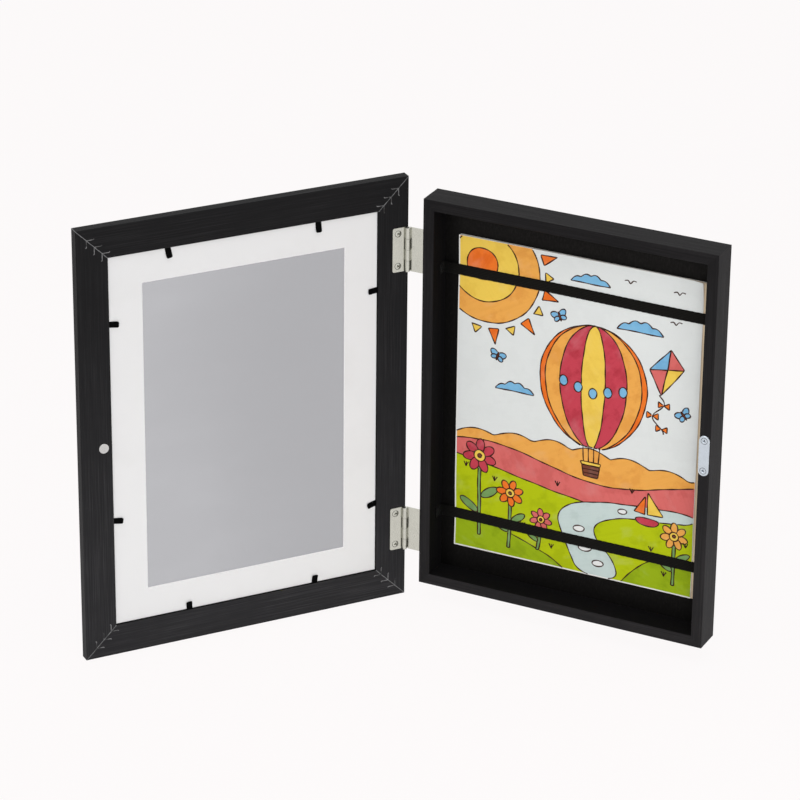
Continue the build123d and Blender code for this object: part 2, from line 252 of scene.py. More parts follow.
class Recipe(NodeGraph):
    """One procedural material under construction, around a Principled surface."""

    def __init__(self, name: str, **surface: Value) -> None:
        """Starts a material.

        Args:
            name: Name of the material.
            surface: Values of the surface's inputs, spaces written as underscores.
        """
        self.material = bpy.data.materials.new(name)
        self.material.use_nodes = True
        super().__init__(self.material.node_tree)
        self.surface = self.node("BsdfPrincipled", {})
        self.output = self.node("OutputMaterial", {"Surface": self.surface.outputs[0]})
        self.finish(**surface)

    def position(self) -> Socket:
        """The point's place on its piece, in metres."""
        return self.node("TexCoord", {}).outputs["Object"]

    def joined(self, x: Value, y: Value, z: Value) -> Socket:
        """Vector with the three given components."""
        return self.node("CombineXYZ", {0: x, 1: y, 2: z}).outputs[0]

    def noise(self, vector: Socket, scale: float, detail: float = 3.0, roughness: float = 0.55) -> Socket:
        """Grey value of a noise texture."""
        inputs = {"Vector": vector, "Scale": scale, "Detail": detail, "Roughness": roughness}
        return self.node("TexNoise", inputs).outputs[0]

    def streaks(self, vector: Socket, scales: Triple, detail: float, roughness: float = 0.55) -> Socket:
        """Grey value of a noise texture that is drawn out along an axis."""
        return self.noise(self.vector("MULTIPLY", vector, scales), 1.0, detail, roughness)

    def band(self, value: Value, low: float, high: float, first: float = 0.0, last: float = 1.0) -> Socket:
        """Value mapped smoothly from the range between low and high to that from first to last."""
        inputs = {"Value": value, "From Min": low, "From Max": high, "To Min": first, "To Max": last}
        return self.node("MapRange", inputs, interpolation_type="SMOOTHSTEP").outputs[0]

    def mixed(self, share: Value, first: Value, second: Value) -> Socket:
        """Colour between two colours.

        Args:
            share: How much of the second colour shows, from 0 to 1.
            first: Colour at a share of 0.
            second: Colour at a share of 1.

        Returns:
            The colour's socket.
        """
        node = self.node("Mix", {0: share}, data_type="RGBA")
        self.feed(node, 6, first)
        self.feed(node, 7, second)
        return node.outputs[2]

    def shaded(self, colour: Socket, share: Socket) -> Socket:
        """Colour made darker or paler by a share."""
        return self.node("VectorMath", {0: colour, "Scale": share}, operation="SCALE").outputs[0]

    def bump(self, height: Socket, distance: float, strength: float) -> Socket:
        """Normal tilted by a height from 0 to 1, for a relief of that depth in metres and strength."""
        return self.node("Bump", {"Height": height, "Distance": distance, "Strength": strength}).outputs[0]

    def finish(self, **surface: Value) -> bpy.types.Material:
        """Feeds inputs of the surface and hands over the material.

        Args:
            surface: Values of the inputs, spaces written as underscores.

        Returns:
            The material.
        """
        for key, value in surface.items():
            self.feed(self.surface, key.replace("_", " "), value)
        return self.material

    def covered(self, share: Socket, shader: Socket) -> bpy.types.Material:
        """Lays another shader over the surface.

        Args:
            share: How much of the other shader shows, from 0 to 1.
            shader: The other shader.

        Returns:
            The material.
        """
        mix = self.node("MixShader", {0: share, 1: self.surface.outputs[0], 2: shader})
        self.feed(self.output, "Surface", mix.outputs[0])
        return self.material


def toned(colour: Colour, share: float) -> Colour:
    """A colour made darker or paler by a share."""
    return tuple(part * share for part in colour)


@dataclass(frozen=True)
class GrainedWrap:
    """Black embossed wrap on a rail, its grain along the rail and its mitres' raw edges pale.

    Attributes:
        tone: Colour of the wrap.
        worn: Colour on the tops of its grain.
        gloss: Specular level of the wrap.
        inner: Place across the rail from which its inner walls begin.
        inner_top: Height above the rear plane at which they end.
        mitre: Strength of the pale line at the mitres, from 0 to 1.
        head: How much paler it is at the top of the frame, as painted light; below 1 it is painted shade.
        foot: How much paler it is at the frame's foot, as painted light.
        polish: How much smoother its outer faces are.
        walls: Painted shade on the inner wall of each side: its tone as a share of the wrap's tone.
        painted_light_reach: Height over or under the middle at which the painted light of head or foot
            counts in full.
        fibres: Scale of the long grain on the rail's own axes, per metre.
        vessels: Scale of the short pores on them.
        relief: Depth of the grain.
        skin: Depth of what counts as the outer face.
        raw: Colour of the raw edge at a mitre.
        raw_fade: Distances from the mitre between which the raw edge fades.
        fray: Least and most that the fade is moved by fraying.
    """

    tone: Colour
    worn: Colour
    gloss: float
    inner: float
    inner_top: float
    mitre: float = 0.0
    head: float = 1.0
    foot: float = 1.0
    polish: float = 0.0
    walls: tuple[float, float, float, float] = (0.3, 0.3, 0.3, 0.3)
    painted_light_reach: float = 0.19
    fibres: Triple = (12.0, 1100.0, 1100.0)
    vessels: Triple = (40.0, 2400.0, 2400.0)
    relief: float = 0.0001
    skin: float = 0.0002
    raw: Colour = (0.32, 0.322, 0.326)
    raw_fade: Point2 = (0.0002, 0.00048)
    fray: Point2 = (-0.00014, 0.0002)

    def material(self, name: str, side: SidePlane, wall_shade: float) -> bpy.types.Material:
        """Makes the wrap of one rail.

        Args:
            name: Name of the material.
            side: Plane of the rail's side.
            wall_shade: Painted shade on its inner wall: the wall's tone as a share of the wrap's tone.

        Returns:
            The material.
        """
        recipe = Recipe(name, Specular_IOR_Level=self.gloss)
        spot = recipe.position()
        place = recipe.vector("SUBTRACT", spot, side.origin)
        along, across, lift = (recipe.dot(place, axis) for axis in (side.run, side.inward, side.out))
        rail = recipe.joined(along, across, lift)
        fibre = recipe.streaks(rail, self.fibres, 4.0, 0.6)
        pores = recipe.band(recipe.streaks(rail, self.vessels, 2.0, 0.5), 0.56, 0.68)
        cloud = recipe.band(recipe.noise(rail, 24.0, 2.0), 0.3, 0.7, 0.25, 1.0)
        colour = recipe.mixed(recipe.product(recipe.band(fibre, 0.4, 0.72), cloud), self.tone, self.worn)
        colour = recipe.mixed(recipe.product(pores, 0.3), colour, self.worn)
        # Painted light: the wrap is scaled from its foot share at the bottom to its head share at the top.
        rail_painted_light = recipe.band(recipe.dot(spot, UP), -self.painted_light_reach, self.painted_light_reach, self.foot, self.head)
        colour = recipe.shaded(colour, rail_painted_light)
        if self.mitre > 0:
            to_end = recipe.difference(side.length / 2, recipe.math("ABSOLUTE", along))
            bare = self.raw_edge(recipe, recipe.difference(to_end, across), rail)
            colour = recipe.mixed(bare, colour, self.raw)
        # Painted shade: the inner walls, down in the recess, are darkened to a share of the wrap's tone.
        wall = recipe.product(recipe.math("GREATER_THAN", across, self.inner),
                              recipe.math("LESS_THAN", lift, self.inner_top))
        colour = recipe.mixed(wall, colour, toned(self.tone, wall_shade))
        relief = recipe.difference(fibre, recipe.product(pores, 0.4))
        outer = recipe.product(recipe.math("LESS_THAN", across, self.skin), self.polish)
        rough = recipe.difference(recipe.band(fibre, 0.3, 0.8, 0.6, 0.48), outer)
        normal = recipe.bump(relief, self.relief, 0.7)
        return recipe.finish(Base_Color=colour, Roughness=rough, Normal=normal)

    def raw_edge(self, recipe: Recipe, gap: Socket, rail: Socket) -> Socket:
        """Share of pale raw edge at a point, strongest on the mitre line and broken along it.

        Args:
            recipe: The material under construction.
            gap: Distance from the mitre line.
            rail: Place on the rail.

        Returns:
            The share's socket.
        """
        frayed = recipe.total(gap, recipe.band(recipe.noise(rail, 420.0, 2.0), 0.35, 0.75, *self.fray))
        line = recipe.band(frayed, *self.raw_fade, 1.0, 0.0)
        broken = recipe.band(recipe.noise(rail, 210.0, 3.0), 0.36, 0.6, 0.15, 1.0)
        return recipe.product(recipe.product(line, broken), self.mitre)


@dataclass(frozen=True)
class PlatedMetal:
    """Plated steel with a fine rolled grain and a few faint dull spots.

    Attributes:
        colour: Colour of the plating.
        roughness: Roughness of its clean parts.
        grain: Scale of the rolled grain, per metre.
        soiled: How much of it is covered by black paint, from 0 to 1.
        paint: Colour of that paint.
        relief: Depth of the rolled grain.
    """

    colour: Colour
    roughness: float = 0.27
    grain: Triple = (1400.0, 1400.0, 90.0)
    soiled: float = 0.0
    paint: Colour = (0.03, 0.03, 0.03)
    relief: float = 0.00001

    def material(self, name: str) -> bpy.types.Material:
        """Makes the plating.

        Args:
            name: Name of the material.

        Returns:
            The material.
        """
        recipe = Recipe(name, Metallic=1.0)
        place = recipe.position()
        rolled = recipe.streaks(place, self.grain, 3.0)
        spots = recipe.noise(place, 170.0, 3.0, 0.5)
        colour = recipe.mixed(recipe.band(spots, 0.4, 0.75), self.colour, toned(self.colour, 0.95))
        if self.soiled > 0:
            cover = recipe.band(recipe.noise(place, 130.0, 3.0, 0.6), 0.42, 0.6, 0.0, self.soiled)
            colour = recipe.mixed(cover, colour, self.paint)
        brushed = recipe.band(rolled, 0.3, 0.7, self.roughness - 0.01, self.roughness + 0.02)
        rough = recipe.total(brushed, recipe.band(spots, 0.5, 0.8, 0.0, 0.025))
        relief = recipe.bump(rolled, self.relief, 0.12)
        return recipe.finish(Base_Color=colour, Roughness=rough, Normal=relief)


@dataclass(frozen=True)
class MatBoard:
    """Smooth white mat board with a faint tooth and a few soft handling marks.

    Attributes:
        face: Colour of the clean board.
        mark: Colour of its marks.
        head: How much paler it is painted at the top, as painted light; below 1 it is painted shade.
        foot: How much paler it is painted at the foot, as painted light.
        reach: Height over or under the middle at which head or foot counts in full.
        relief: Depth of the tooth.
    """

    face: Colour = (0.83, 0.825, 0.83)
    mark: Colour = (0.78, 0.775, 0.775)
    head: float = 0.975
    foot: float = 1.06
    reach: float = 0.16
    relief: float = 0.00005

    def material(self, name: str) -> bpy.types.Material:
        """Makes the board.

        Args:
            name: Name of the material.

        Returns:
            The material.
        """
        recipe = Recipe(name, Specular_IOR_Level=0.3)
        place = recipe.position()
        tooth = recipe.noise(place, 1500.0, 4.0, 0.6)
        cloud = recipe.noise(place, 22.0, 3.0)
        colour = recipe.mixed(recipe.band(cloud, 0.45, 0.8, 0.0, 0.6), self.face, self.mark)
        colour = recipe.mixed(recipe.band(tooth, 0.3, 0.75, 0.0, 0.16), colour, self.mark)
        # Painted light: the board is scaled paler towards its foot and darker towards its top.
        mat_painted_light = recipe.band(recipe.dot(place, UP), -self.reach, self.reach, self.foot, self.head)
        colour = recipe.shaded(colour, mat_painted_light)
        rough = recipe.band(cloud, 0.3, 0.7, 0.7, 0.8)
        return recipe.finish(Base_Color=colour, Roughness=rough, Normal=recipe.bump(tooth, self.relief, 0.5))


@dataclass(frozen=True)
class ClearPane:
    """Thin acrylic pane with faint wipe marks, painted grey as painted shade in the mat's window and clear
    over the mat.

    Attributes:
        door: The door's leaf.
        window_shade: Painted shade: colour of what shows through it in the window.
        clear: Colour of what shows through it over the mat.
        shadow: Colour of the light that it lets through to what lies in its shadow.
        half_width: Half of the window's width.
        half_height: Half of the window's height.
        hinge_shade_share: How dark the painted shade makes the window's grey near the hinges, as a share.
        hinge_shade_reach: Distance either side of the door's middle over which the painted shade darkens it.
        uneven: How far the edge of that darkening wanders.
        wipes: Scale of the wipe marks, per metre.
    """

    door: Leaf
    window_shade: Colour = (0.484, 0.495, 0.516)
    clear: Colour = (0.93, 0.935, 0.94)
    shadow: Colour = (0.9, 0.9, 0.905)
    half_width: float = 0.0876
    half_height: float = 0.1343
    hinge_shade_share: float = 0.83
    hinge_shade_reach: float = 0.09
    uneven: float = 0.04
    wipes: Triple = (14.0, 14.0, 46.0)

    def material(self, name: str) -> bpy.types.Material:
        """Makes the acrylic.

        Args:
            name: Name of the material.

        Returns:
            The material.
        """
        recipe = Recipe(name, IOR=1.49, Transmission_Weight=1.0, Specular_IOR_Level=0.5)
        place = recipe.position()
        wiped = recipe.streaks(place, self.wipes, 4.0, 0.6)
        haze = recipe.product(recipe.band(wiped, 0.5, 0.75), 0.02)
        rough = recipe.total(haze, recipe.band(recipe.noise(place, 900.0, 2.0), 0.7, 0.8, 0.0, 0.03))
        colour = recipe.mixed(recipe.band(wiped, 0.35, 0.75), self.window_shade, toned(self.window_shade, 1.03))
        offset = recipe.vector("SUBTRACT", place, self.door.centre)
        across = recipe.dot(offset, self.door.right)
        wander = recipe.band(recipe.noise(place, 5.0, 1.0), 0.3, 0.7, -self.uneven, self.uneven)
        # Painted shade: the window's grey darkens towards the hinge side, next to the case.
        hinge_shade = recipe.band(recipe.total(across, wander), -self.hinge_shade_reach, self.hinge_shade_reach, 0.8, 0.0)
        colour = recipe.mixed(hinge_shade, colour, toned(self.window_shade, self.hinge_shade_share))
        aside, away = (recipe.math("ABSOLUTE", length) for length in (across, recipe.dot(offset, UP)))
        window = recipe.product(recipe.math("LESS_THAN", aside, self.half_width),
                                recipe.math("LESS_THAN", away, self.half_height))
        # Painted shade: the grey shows only in the window; over the mat the pane is clear.
        recipe.finish(Base_Color=recipe.mixed(window, self.clear, colour), Roughness=rough)
        passing = recipe.node("BsdfTransparent", {"Color": self.shadow}).outputs[0]
        return recipe.covered(recipe.node("LightPath", {}).outputs["Is Shadow Ray"], passing)


@dataclass(frozen=True)
class Hardboard:
    """Hardboard with a pressed fibre surface, painted matt black in front and charcoal on its rear face.

    Attributes:
        tone: Colour of the front.
        fibre: Colour on the tops of its fibres.
        rear: Colour of the rear face.
        rear_fibre: Colour on the tops of the rear's fibres.
        speck: Colour of its specks.
        fibres: Scale of the fibres, per metre.
        head_fade: Heights between which the front turns paler, as painted light.
        head_share: How much paler it is above them.
        foot_fade: Heights between which it is darker below, as painted shade.
        foot_share: How dark it is there, as a share.
        hinge_fade: Places across the case between which it is darker towards the hinges, as painted shade in
            the corner by the wall.
        hinge_share: How dark it is there, as a share.
        rear_plane: Depth of the plane behind which the rear's colours show.
        relief: Depth of the fibres.
    """

    tone: Colour = (0.0072, 0.0066, 0.0063)
    fibre: Colour = (0.0135, 0.0125, 0.0118)
    rear: Colour = (0.03, 0.0275, 0.0255)
    rear_fibre: Colour = (0.06, 0.055, 0.05)
    speck: Colour = (0.04, 0.038, 0.036)
    fibres: Triple = (700.0, 300.0, 260.0)
    head_fade: Point2 = (0.11, 0.16)
    head_share: float = 1.35
    foot_fade: Point2 = (-0.162, -0.138)
    foot_share: float = 0.5
    hinge_fade: Point2 = (-0.1176, -0.1)
    hinge_share: float = 0.45
    rear_plane: float = -0.0005
    relief: float = 0.0001

    def material(self, name: str) -> bpy.types.Material:
        """Makes the board.

        Args:
            name: Name of the material.

        Returns:
            The material.
        """
        recipe = Recipe(name, Specular_IOR_Level=0.04)
        place = recipe.position()
        fibres = recipe.streaks(place, self.fibres, 5.0, 0.65)
        specks = recipe.band(recipe.noise(place, 1100.0, 2.0), 0.66, 0.74)
        pressed = recipe.band(fibres, 0.4, 0.75)
        across, height = recipe.dot(place, RIGHT), recipe.dot(place, UP)
        # Painted shade darkens the front towards the hinge wall and the foot; painted light makes it paler
        # at the top.
        corner = recipe.product(recipe.band(across, *self.hinge_fade, self.hinge_share, 1.0),
                                recipe.band(height, *self.foot_fade, self.foot_share, 1.0))
        rubbed_and_painted_light = recipe.product(recipe.band(height, *self.head_fade, 1.0, self.head_share), corner)
        front = recipe.shaded(recipe.mixed(pressed, self.tone, self.fibre), rubbed_and_painted_light)
        behind = recipe.math("GREATER_THAN", recipe.dot(place, BACK), self.rear_plane)
        colour = recipe.mixed(behind, front, recipe.mixed(pressed, self.rear, self.rear_fibre))
        colour = recipe.mixed(recipe.product(specks, 0.25), colour, self.speck)
        rough = recipe.band(fibres, 0.3, 0.8, 0.62, 0.85)
        normal = recipe.bump(fibres, self.relief, 0.7)
        return recipe.finish(Base_Color=colour, Roughness=rough, Normal=normal)


@dataclass(frozen=True)
class BlackedSteel:
    """Dull blackened spring steel with worn spots.

    Attributes:
        tone: Colour of the steel.
        rubbed_and_painted_light: Colour of the spots.
        relief: Depth of its surface.
    """

    tone: Colour = (0.0015, 0.0015, 0.0016)
    rubbed_and_painted_light: Colour = (0.007, 0.007, 0.0075)
    relief: float = 0.00003

    def material(self, name: str) -> bpy.types.Material:
        """Makes the steel.

        Args:
            name: Name of the material.

        Returns:
            The material.
        """
        recipe = Recipe(name, Specular_IOR_Level=0.02)
        rub = recipe.noise(recipe.position(), 900.0, 4.0, 0.6)
        colour = recipe.mixed(recipe.band(rub, 0.5, 0.8), self.tone, self.rubbed_and_painted_light)
        rough = recipe.band(rub, 0.35, 0.7, 0.5, 0.65)
        return recipe.finish(Base_Color=colour, Roughness=rough, Normal=recipe.bump(rub, self.relief, 0.6))


@dataclass(frozen=True)
class WovenElastic:
    """Black braided elastic: cords along the band, crossed by finer threads.

    Attributes:
        thread: Colour between the threads.
        top: Colour on their tops.
        cords: Scale of the cords, per metre.
        picks: Scale of the crossing threads, per metre.
        shaded_end: Distances from its first end, on the hinge-side wall, between which its painted shade
            fades into its own colour.
        end_shade_share: How dark the painted shade makes its first end, as a share.
        relief: Depth of the braid.
    """

    thread: Colour = (0.004, 0.0037, 0.0032)
    top: Colour = (0.015, 0.0135, 0.0115)
    cords: float = 230.0
    picks: float = 520.0
    shaded_end: Point2 = (0.008, 0.032)
    end_shade_share: float = 0.3
    relief: float = 0.00022

    def material(self, name: str) -> bpy.types.Material:
        """Makes the braid. The piece's UVs run along the band and across it, in metres.

        Args:
            name: Name of the material.

        Returns:
            The material.
        """
        recipe = Recipe(name, Specular_IOR_Level=0.05, Sheen_Weight=0.03, Sheen_Roughness=0.5)
        cloth = recipe.node("UVMap", {}).outputs[0]
        waves = []
        for scale, bend, detail, across in ((self.cords, 0.4, 1.0, "Y"), (self.picks, 1.2, 2.0, "X")):
            inputs = {"Vector": cloth, "Scale": scale, "Distortion": bend, "Detail": detail}
            wave = recipe.node("TexWave", inputs, wave_type="BANDS", bands_direction=across)
            waves.append(wave.outputs["Fac"])
        fuzz = recipe.noise(recipe.position(), 4200.0, 3.0, 0.7)
        braid = recipe.total(recipe.product(waves[0], 0.6), recipe.product(waves[1], 0.4))
        colour = recipe.mixed(recipe.band(recipe.product(braid, fuzz), 0.1, 0.55), self.thread, self.top)
        # Painted shade: the band darkens towards its tail on the hinge-side wall.
        painted_end_shade = recipe.band(recipe.dot(cloth, RIGHT), *self.shaded_end, self.end_shade_share, 1.0)
        relief = recipe.bump(recipe.total(braid, recipe.product(fuzz, 0.3)), self.relief, 0.8)
        return recipe.finish(Base_Color=recipe.shaded(colour, painted_end_shade), Roughness=0.82, Normal=relief)


@dataclass(frozen=True)
class Paper:
    """Drawing paper, bare or laid over with marker strokes.

    Attributes:
        colour: Colour of the paper or of the marker.
        strokes: How far the strokes darken it, from 0 to 1.
        slant: Direction of the strokes in radians from the sheet's lower edge.
        lines: Scale of the strokes, along and across them, per metre.
        patches: Scale of the paler patches.
        relief: Depth of the paper's tooth.
    """

    colour: Colour
    strokes: float = 0.0
    slant: float = 0.6
    lines: Triple = (24.0, 1.0, 360.0)
    patches: Triple = (42.0, 1.0, 66.0)
    relief: float = 0.00003

    def material(self, name: str) -> bpy.types.Material:
        """Makes the paper.

        Args:
            name: Name of the material.

        Returns:
            The material.
        """
        recipe = Recipe(name, Specular_IOR_Level=0.08)
        place = recipe.position()
        tooth = recipe.noise(place, 1900.0, 3.0, 0.6)
        colour: Value = self.colour
        deep = tuple(part * part * 0.4 + part * 0.42 for part in self.colour)
        if self.strokes > 0:
            colour = self.marked(recipe, place, deep)
        colour = recipe.mixed(recipe.band(tooth, 0.35, 0.8, 0.0, 0.14), colour, deep)
        rough = recipe.band(tooth, 0.3, 0.7, 0.56, 0.72)
        return recipe.finish(Base_Color=colour, Roughness=rough, Normal=recipe.bump(tooth, self.relief, 0.6))

    def marked(self, recipe: Recipe, place: Socket, deep: Colour) -> Socket:
        """Colour of the marker with its strokes, pools and paler patches.

        Args:
            recipe: The material under construction.
            place: Place on the sheet.
            deep: Colour where the marker lies thick.

        Returns:
            The colour's socket.
        """
        along = recipe.dot(place, (math.cos(self.slant), 0.0, math.sin(self.slant)))
        across = recipe.dot(place, (-math.sin(self.slant), 0.0, math.cos(self.slant)))
        drawn = recipe.joined(along, 0.0, across)
        stroke = recipe.streaks(drawn, self.lines, 2.0)
        patch = recipe.streaks(drawn, self.patches, 3.0, 0.5)
        pooled = recipe.band(recipe.noise(place, 62.0, 4.0, 0.6), 0.46, 0.62, 0.0, 0.7)
        layers = recipe.total(pooled, recipe.band(stroke, 0.45, 0.75, 0.0, 0.3))
        colour = recipe.mixed(recipe.product(layers, self.strokes), self.colour, deep)
        pale = tuple(min(1.0, part * 0.8 + 0.14) for part in self.colour)
        return recipe.mixed(recipe.band(patch, 0.52, 0.74, 0.0, 0.8 * self.strokes), colour, pale)


def dress(nodes: Sequence[str], material: bpy.types.Material) -> None:
    """Gives carried-over nodes one material.

    Args:
        nodes: Names of the nodes.
        material: Their material.
    """
    for node in nodes:
        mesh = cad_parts[node].data
        mesh.materials.clear()
        mesh.materials.append(material)


def oval_ring(a: float, b: float, count: int) -> list[Point2]:
    """Points round an oval of two half breadths about the origin."""
    return [(a * math.cos(k * math.tau / count), b * math.sin(k * math.tau / count)) for k in range(count)]


class Solid:
    """Vertices and faces gathered for one piece."""

    def __init__(self) -> None:
        """Starts empty."""
        self.vertices: list[Vector] = []
        self.faces: list[tuple[int, ...]] = []
        self.slots: list[int] = []

    def ring(self, points: Sequence[Vector]) -> list[int]:
        """Adds points.

        Args:
            points: The points.

        Returns:
            Their vertex numbers.
        """
        first = len(self.vertices)
        self.vertices += list(points)
        return list(range(first, first + len(points)))

    def face(self, corners: Sequence[int], slot: int = 0) -> None:
        """Adds a face with a material slot."""
        self.faces.append(tuple(corners))
        self.slots.append(slot)

    def bridge(self, first: Sequence[int], second: Sequence[int], closed: bool = True,
               slot: int = 0) -> None:
        """Joins two rings of equal length with quads.

        Args:
            first: Vertex numbers of one ring.
            second: Vertex numbers of the other ring.
            closed: Whether the last pair joins the first pair.
            slot: Material slot of the quads.
        """
        count = len(first)
        for index in range(count if closed else count - 1):
            following = (index + 1) % count
            self.face((first[index], first[following], second[following], second[index]), slot)

    def sheet(self, front: Sequence[int], rear: Sequence[int], faces: Sequence[tuple[int, ...]],
              slots: Sequence[int], rear_slot: int) -> None:
        """Adds a thin sheet: its front, its rear and its cut edges.

        Args:
            front: Vertex numbers of the front layer.
            rear: Vertex numbers of the rear layer, in the same order.
            faces: Corners of each face, as places in a layer.
            slots: Material slot of each front face.
            rear_slot: Material slot of the rear and the edges.
        """
        for corners, slot in zip(faces, slots):
            self.face([front[c] for c in corners], slot)
            self.face([rear[c] for c in reversed(corners)], rear_slot)
        sides = dict.fromkeys(pair for corners in faces for pair in zip(corners, corners[1:] + corners[:1]))
        for a, b in sides:
            if (b, a) not in sides:
                self.face((front[b], front[a], rear[a], rear[b]), rear_slot)

    def piece(self, name: str, body: str, materials: Sequence[bpy.types.Material],
              crease: float) -> bpy.types.Object:
        """Makes the object, shades it and lets it ride on a body.

        Args:
            name: Name of the object.
            body: Body that it moves with.
            materials: Its material slots.
            crease: Largest angle between smoothly shaded faces, in degrees.

        Returns:
            The object.
        """
        mesh = bpy.data.meshes.new(name)
        mesh.from_pydata([tuple(v) for v in self.vertices], [], self.faces)
        for material in materials:
            mesh.materials.append(material)
        mesh.polygons.foreach_set("material_index", self.slots)
        mesh.shade_smooth()
        mesh.set_sharp_from_angle(angle=math.radians(crease))
        mesh.validate()
        mesh.update()
        piece = bpy.data.objects.new(name, mesh)
        bpy.context.scene.collection.objects.link(piece)
        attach(piece, body)
        return piece


@dataclass
class Rails:
    """The eight rails, their corner fasteners and the back panel.

    Attributes:
        layout: Sizes of the case and the door.
        door_wrap: Finish of the door's rails.
        case_wrap: Finish of the case's rails.
    """

    layout: Layout
    # The head and foot shares of both wraps are painted light, and their walls shares are painted shade.
    door_wrap: GrainedWrap = GrainedWrap(
        tone=(0.0115, 0.0112, 0.0122), worn=(0.025, 0.0242, 0.0258), gloss=0.08,
        inner=0.02645, inner_top=0.00495, mitre=0.9, head=0.7, foot=1.85)
    case_wrap: GrainedWrap = GrainedWrap(
        tone=(0.0125, 0.0118, 0.0124), worn=(0.021, 0.0196, 0.0205), gloss=0.035,
        inner=0.00935, inner_top=1.0, head=0.98, foot=1.55, polish=0.1, walls=(0.55, 0.2, 0.2, 0.55))

    def dress(self) -> None:
        """Gives each rail a wrap whose grain runs along it, and the rest of the woodwork its finish."""
        for leaf, wrap in ((self.layout.case(), self.case_wrap), (self.layout.door(), self.door_wrap)):
            for side in Side:
                name = f"{leaf.body}_{side.name.lower()}_rail"
                dress([name], wrap.material(f"{name}_wrap", leaf.side(side), wrap.walls[side.value]))
        dress(["back_panel"], Hardboard().material("painted_hardboard"))
        dress(["panel_staples"], PlatedMetal((0.45, 0.45, 0.45), 0.35).material("zinc_wire"))
        soiled = PlatedMetal((0.25, 0.25, 0.255), 0.35, soiled=0.9).material("painted_over_wire")
        dress(["case_v_nails", "door_v_nails"], soiled)
        dress(["elastic_staples"], PlatedMetal((0.04, 0.04, 0.04), 0.5, soiled=0.9).material("blacked_wire"))


@dataclass
class Glazing:
    """The mat board, the pane and the flexible points that hold them in the door.

    Attributes:
        door: The door's leaf.
        rail_width: Width of the door's rails.
        mat_recess: Depth of the mat's rear face below the rails' rear plane.
        clearance: Gap between the mat and a point.
        width: Width of a point.
        reach: Length of a point from the rail to its free end.
        thickness: Thickness of a point.
        lift: Height of a free end above the mat.
        lift_range: Least and most of it that a point gets, as shares.
        bend_power: How late a point bends up, as a power of the place along it.
        corner: Radius of the free end's corners.
        buried: Length of a point in the wood.
        buried_share: Width of its end there, as a share.
        shoulder: Depth in the wood to which it is narrowed.
        steps: Number of stretches along its straight part.
        corner_steps: Number of stretches round a corner.
        shares: Place of the two points on each side, as shares of its length.
        swerves: Turn of each point away from square to its side, in degrees.
        stretches: How far the points of each side reach out, as a share.
        seed: Start of the random lifts.
    """

    door: Leaf
    rail_width: float = 0.0265
    mat_recess: float = 0.0019
    clearance: float = 0.00003
    width: float = 0.005
    reach: float = 0.009
    thickness: float = 0.0004
    lift: float = 0.0011
    lift_range: Point2 = (0.5, 1.3)
    bend_power: float = 1.6
    corner: float = 0.0012
    buried: float = 0.0045
    buried_share: float = 0.55
    shoulder: float = 0.002
    steps: int = 8
    corner_steps: int = 4
    shares: tuple[Point2, ...] = ((-0.212, 0.18), (-0.18, 0.277), (-0.2295, 0.224), (-0.247, 0.263))
    swerves: tuple[Point2, ...] = ((3.0, -5.0), (6.0, 5.0), (-9.0, -1.0), (-4.0, -13.0))
    stretches: tuple[float, ...] = (0.8, 0.9, 1.0, 0.9)
    seed: int = 5

    def dress(self) -> None:
        """Gives the board and the pane their finishes."""
        dress(["mat_board"], MatBoard().material("white_mat_board"))
        dress(["clear_pane"], ClearPane(self.door).material("clear_acrylic"))

    def outline(self) -> list[Point2]:
        """Half of a point's outline, from its end in the wood to its free end.

        Returns:
            Pairs of a place from the rail and half of the width there.
        """
        half, straight = self.width / 2, self.reach - self.corner
        rows = [(-self.buried, half * self.buried_share), (-self.shoulder, half), (0.0, half)]
        rows += [(straight * step / self.steps, half) for step in range(1, self.steps + 1)]
        for step in range(1, self.corner_steps + 1):
            angle = step * math.pi / (2 * self.corner_steps)
            narrowed = half - self.corner * (1 - math.cos(angle))
            rows.append((straight + self.corner * math.sin(angle), narrowed))
        return rows

    def add_point(self, solid: Solid, side: SidePlane, along: float, swerve: float, lift: float,
                  stretch: float) -> None:
        """Adds one point, bent up from the mat towards its free end.

        Args:
            solid: What the point is added to.
            side: Side of the door that it is driven into.
            along: Its place along the side.
            swerve: Its turn away from square to the side, in degrees.
            lift: Height of its free end above the mat.
            stretch: How far it reaches out, as a share of the full reach.
        """
        turn = Matrix.Rotation(math.radians(swerve), 3, side.out)
        rings = []
        for place, half in self.outline():
            rise = lift * max(0.0, place / self.reach) ** self.bend_power
            ring = []
            for way, edge in ((-1, 0.0), (1, 0.0), (1, 1.0), (-1, 1.0)):
                flat = turn @ (side.run * (way * half) + side.inward * (place * stretch))
                height = self.mat_recess - self.clearance - rise - edge * self.thickness
                ring.append(side.at(along, self.rail_width, height) + flat)
            rings.append(solid.ring(ring))
        for first, second in zip(rings, rings[1:]):
            solid.bridge(first, second)
        solid.face(rings[0][::-1])
        solid.face(rings[-1])

    def build(self) -> bpy.types.Object:
        """Makes the eight points.

        Returns:
            The piece that stands for them.
        """
        solid = Solid()
        dice = random.Random(self.seed)
        for side, shares, swerves, stretch in zip(Side, self.shares, self.swerves, self.stretches):
            plane = self.door.side(side)
            for share, swerve in zip(shares, swerves):
                lift = self.lift * dice.uniform(*self.lift_range)
                self.add_point(solid, plane, share * plane.length, swerve, lift, stretch)
        steel = BlackedSteel().material("blacked_spring_steel")
        piece = solid.piece("bent_flexi_points", "door", [steel], crease=30.0)
        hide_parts("flexi_points")
        return piece


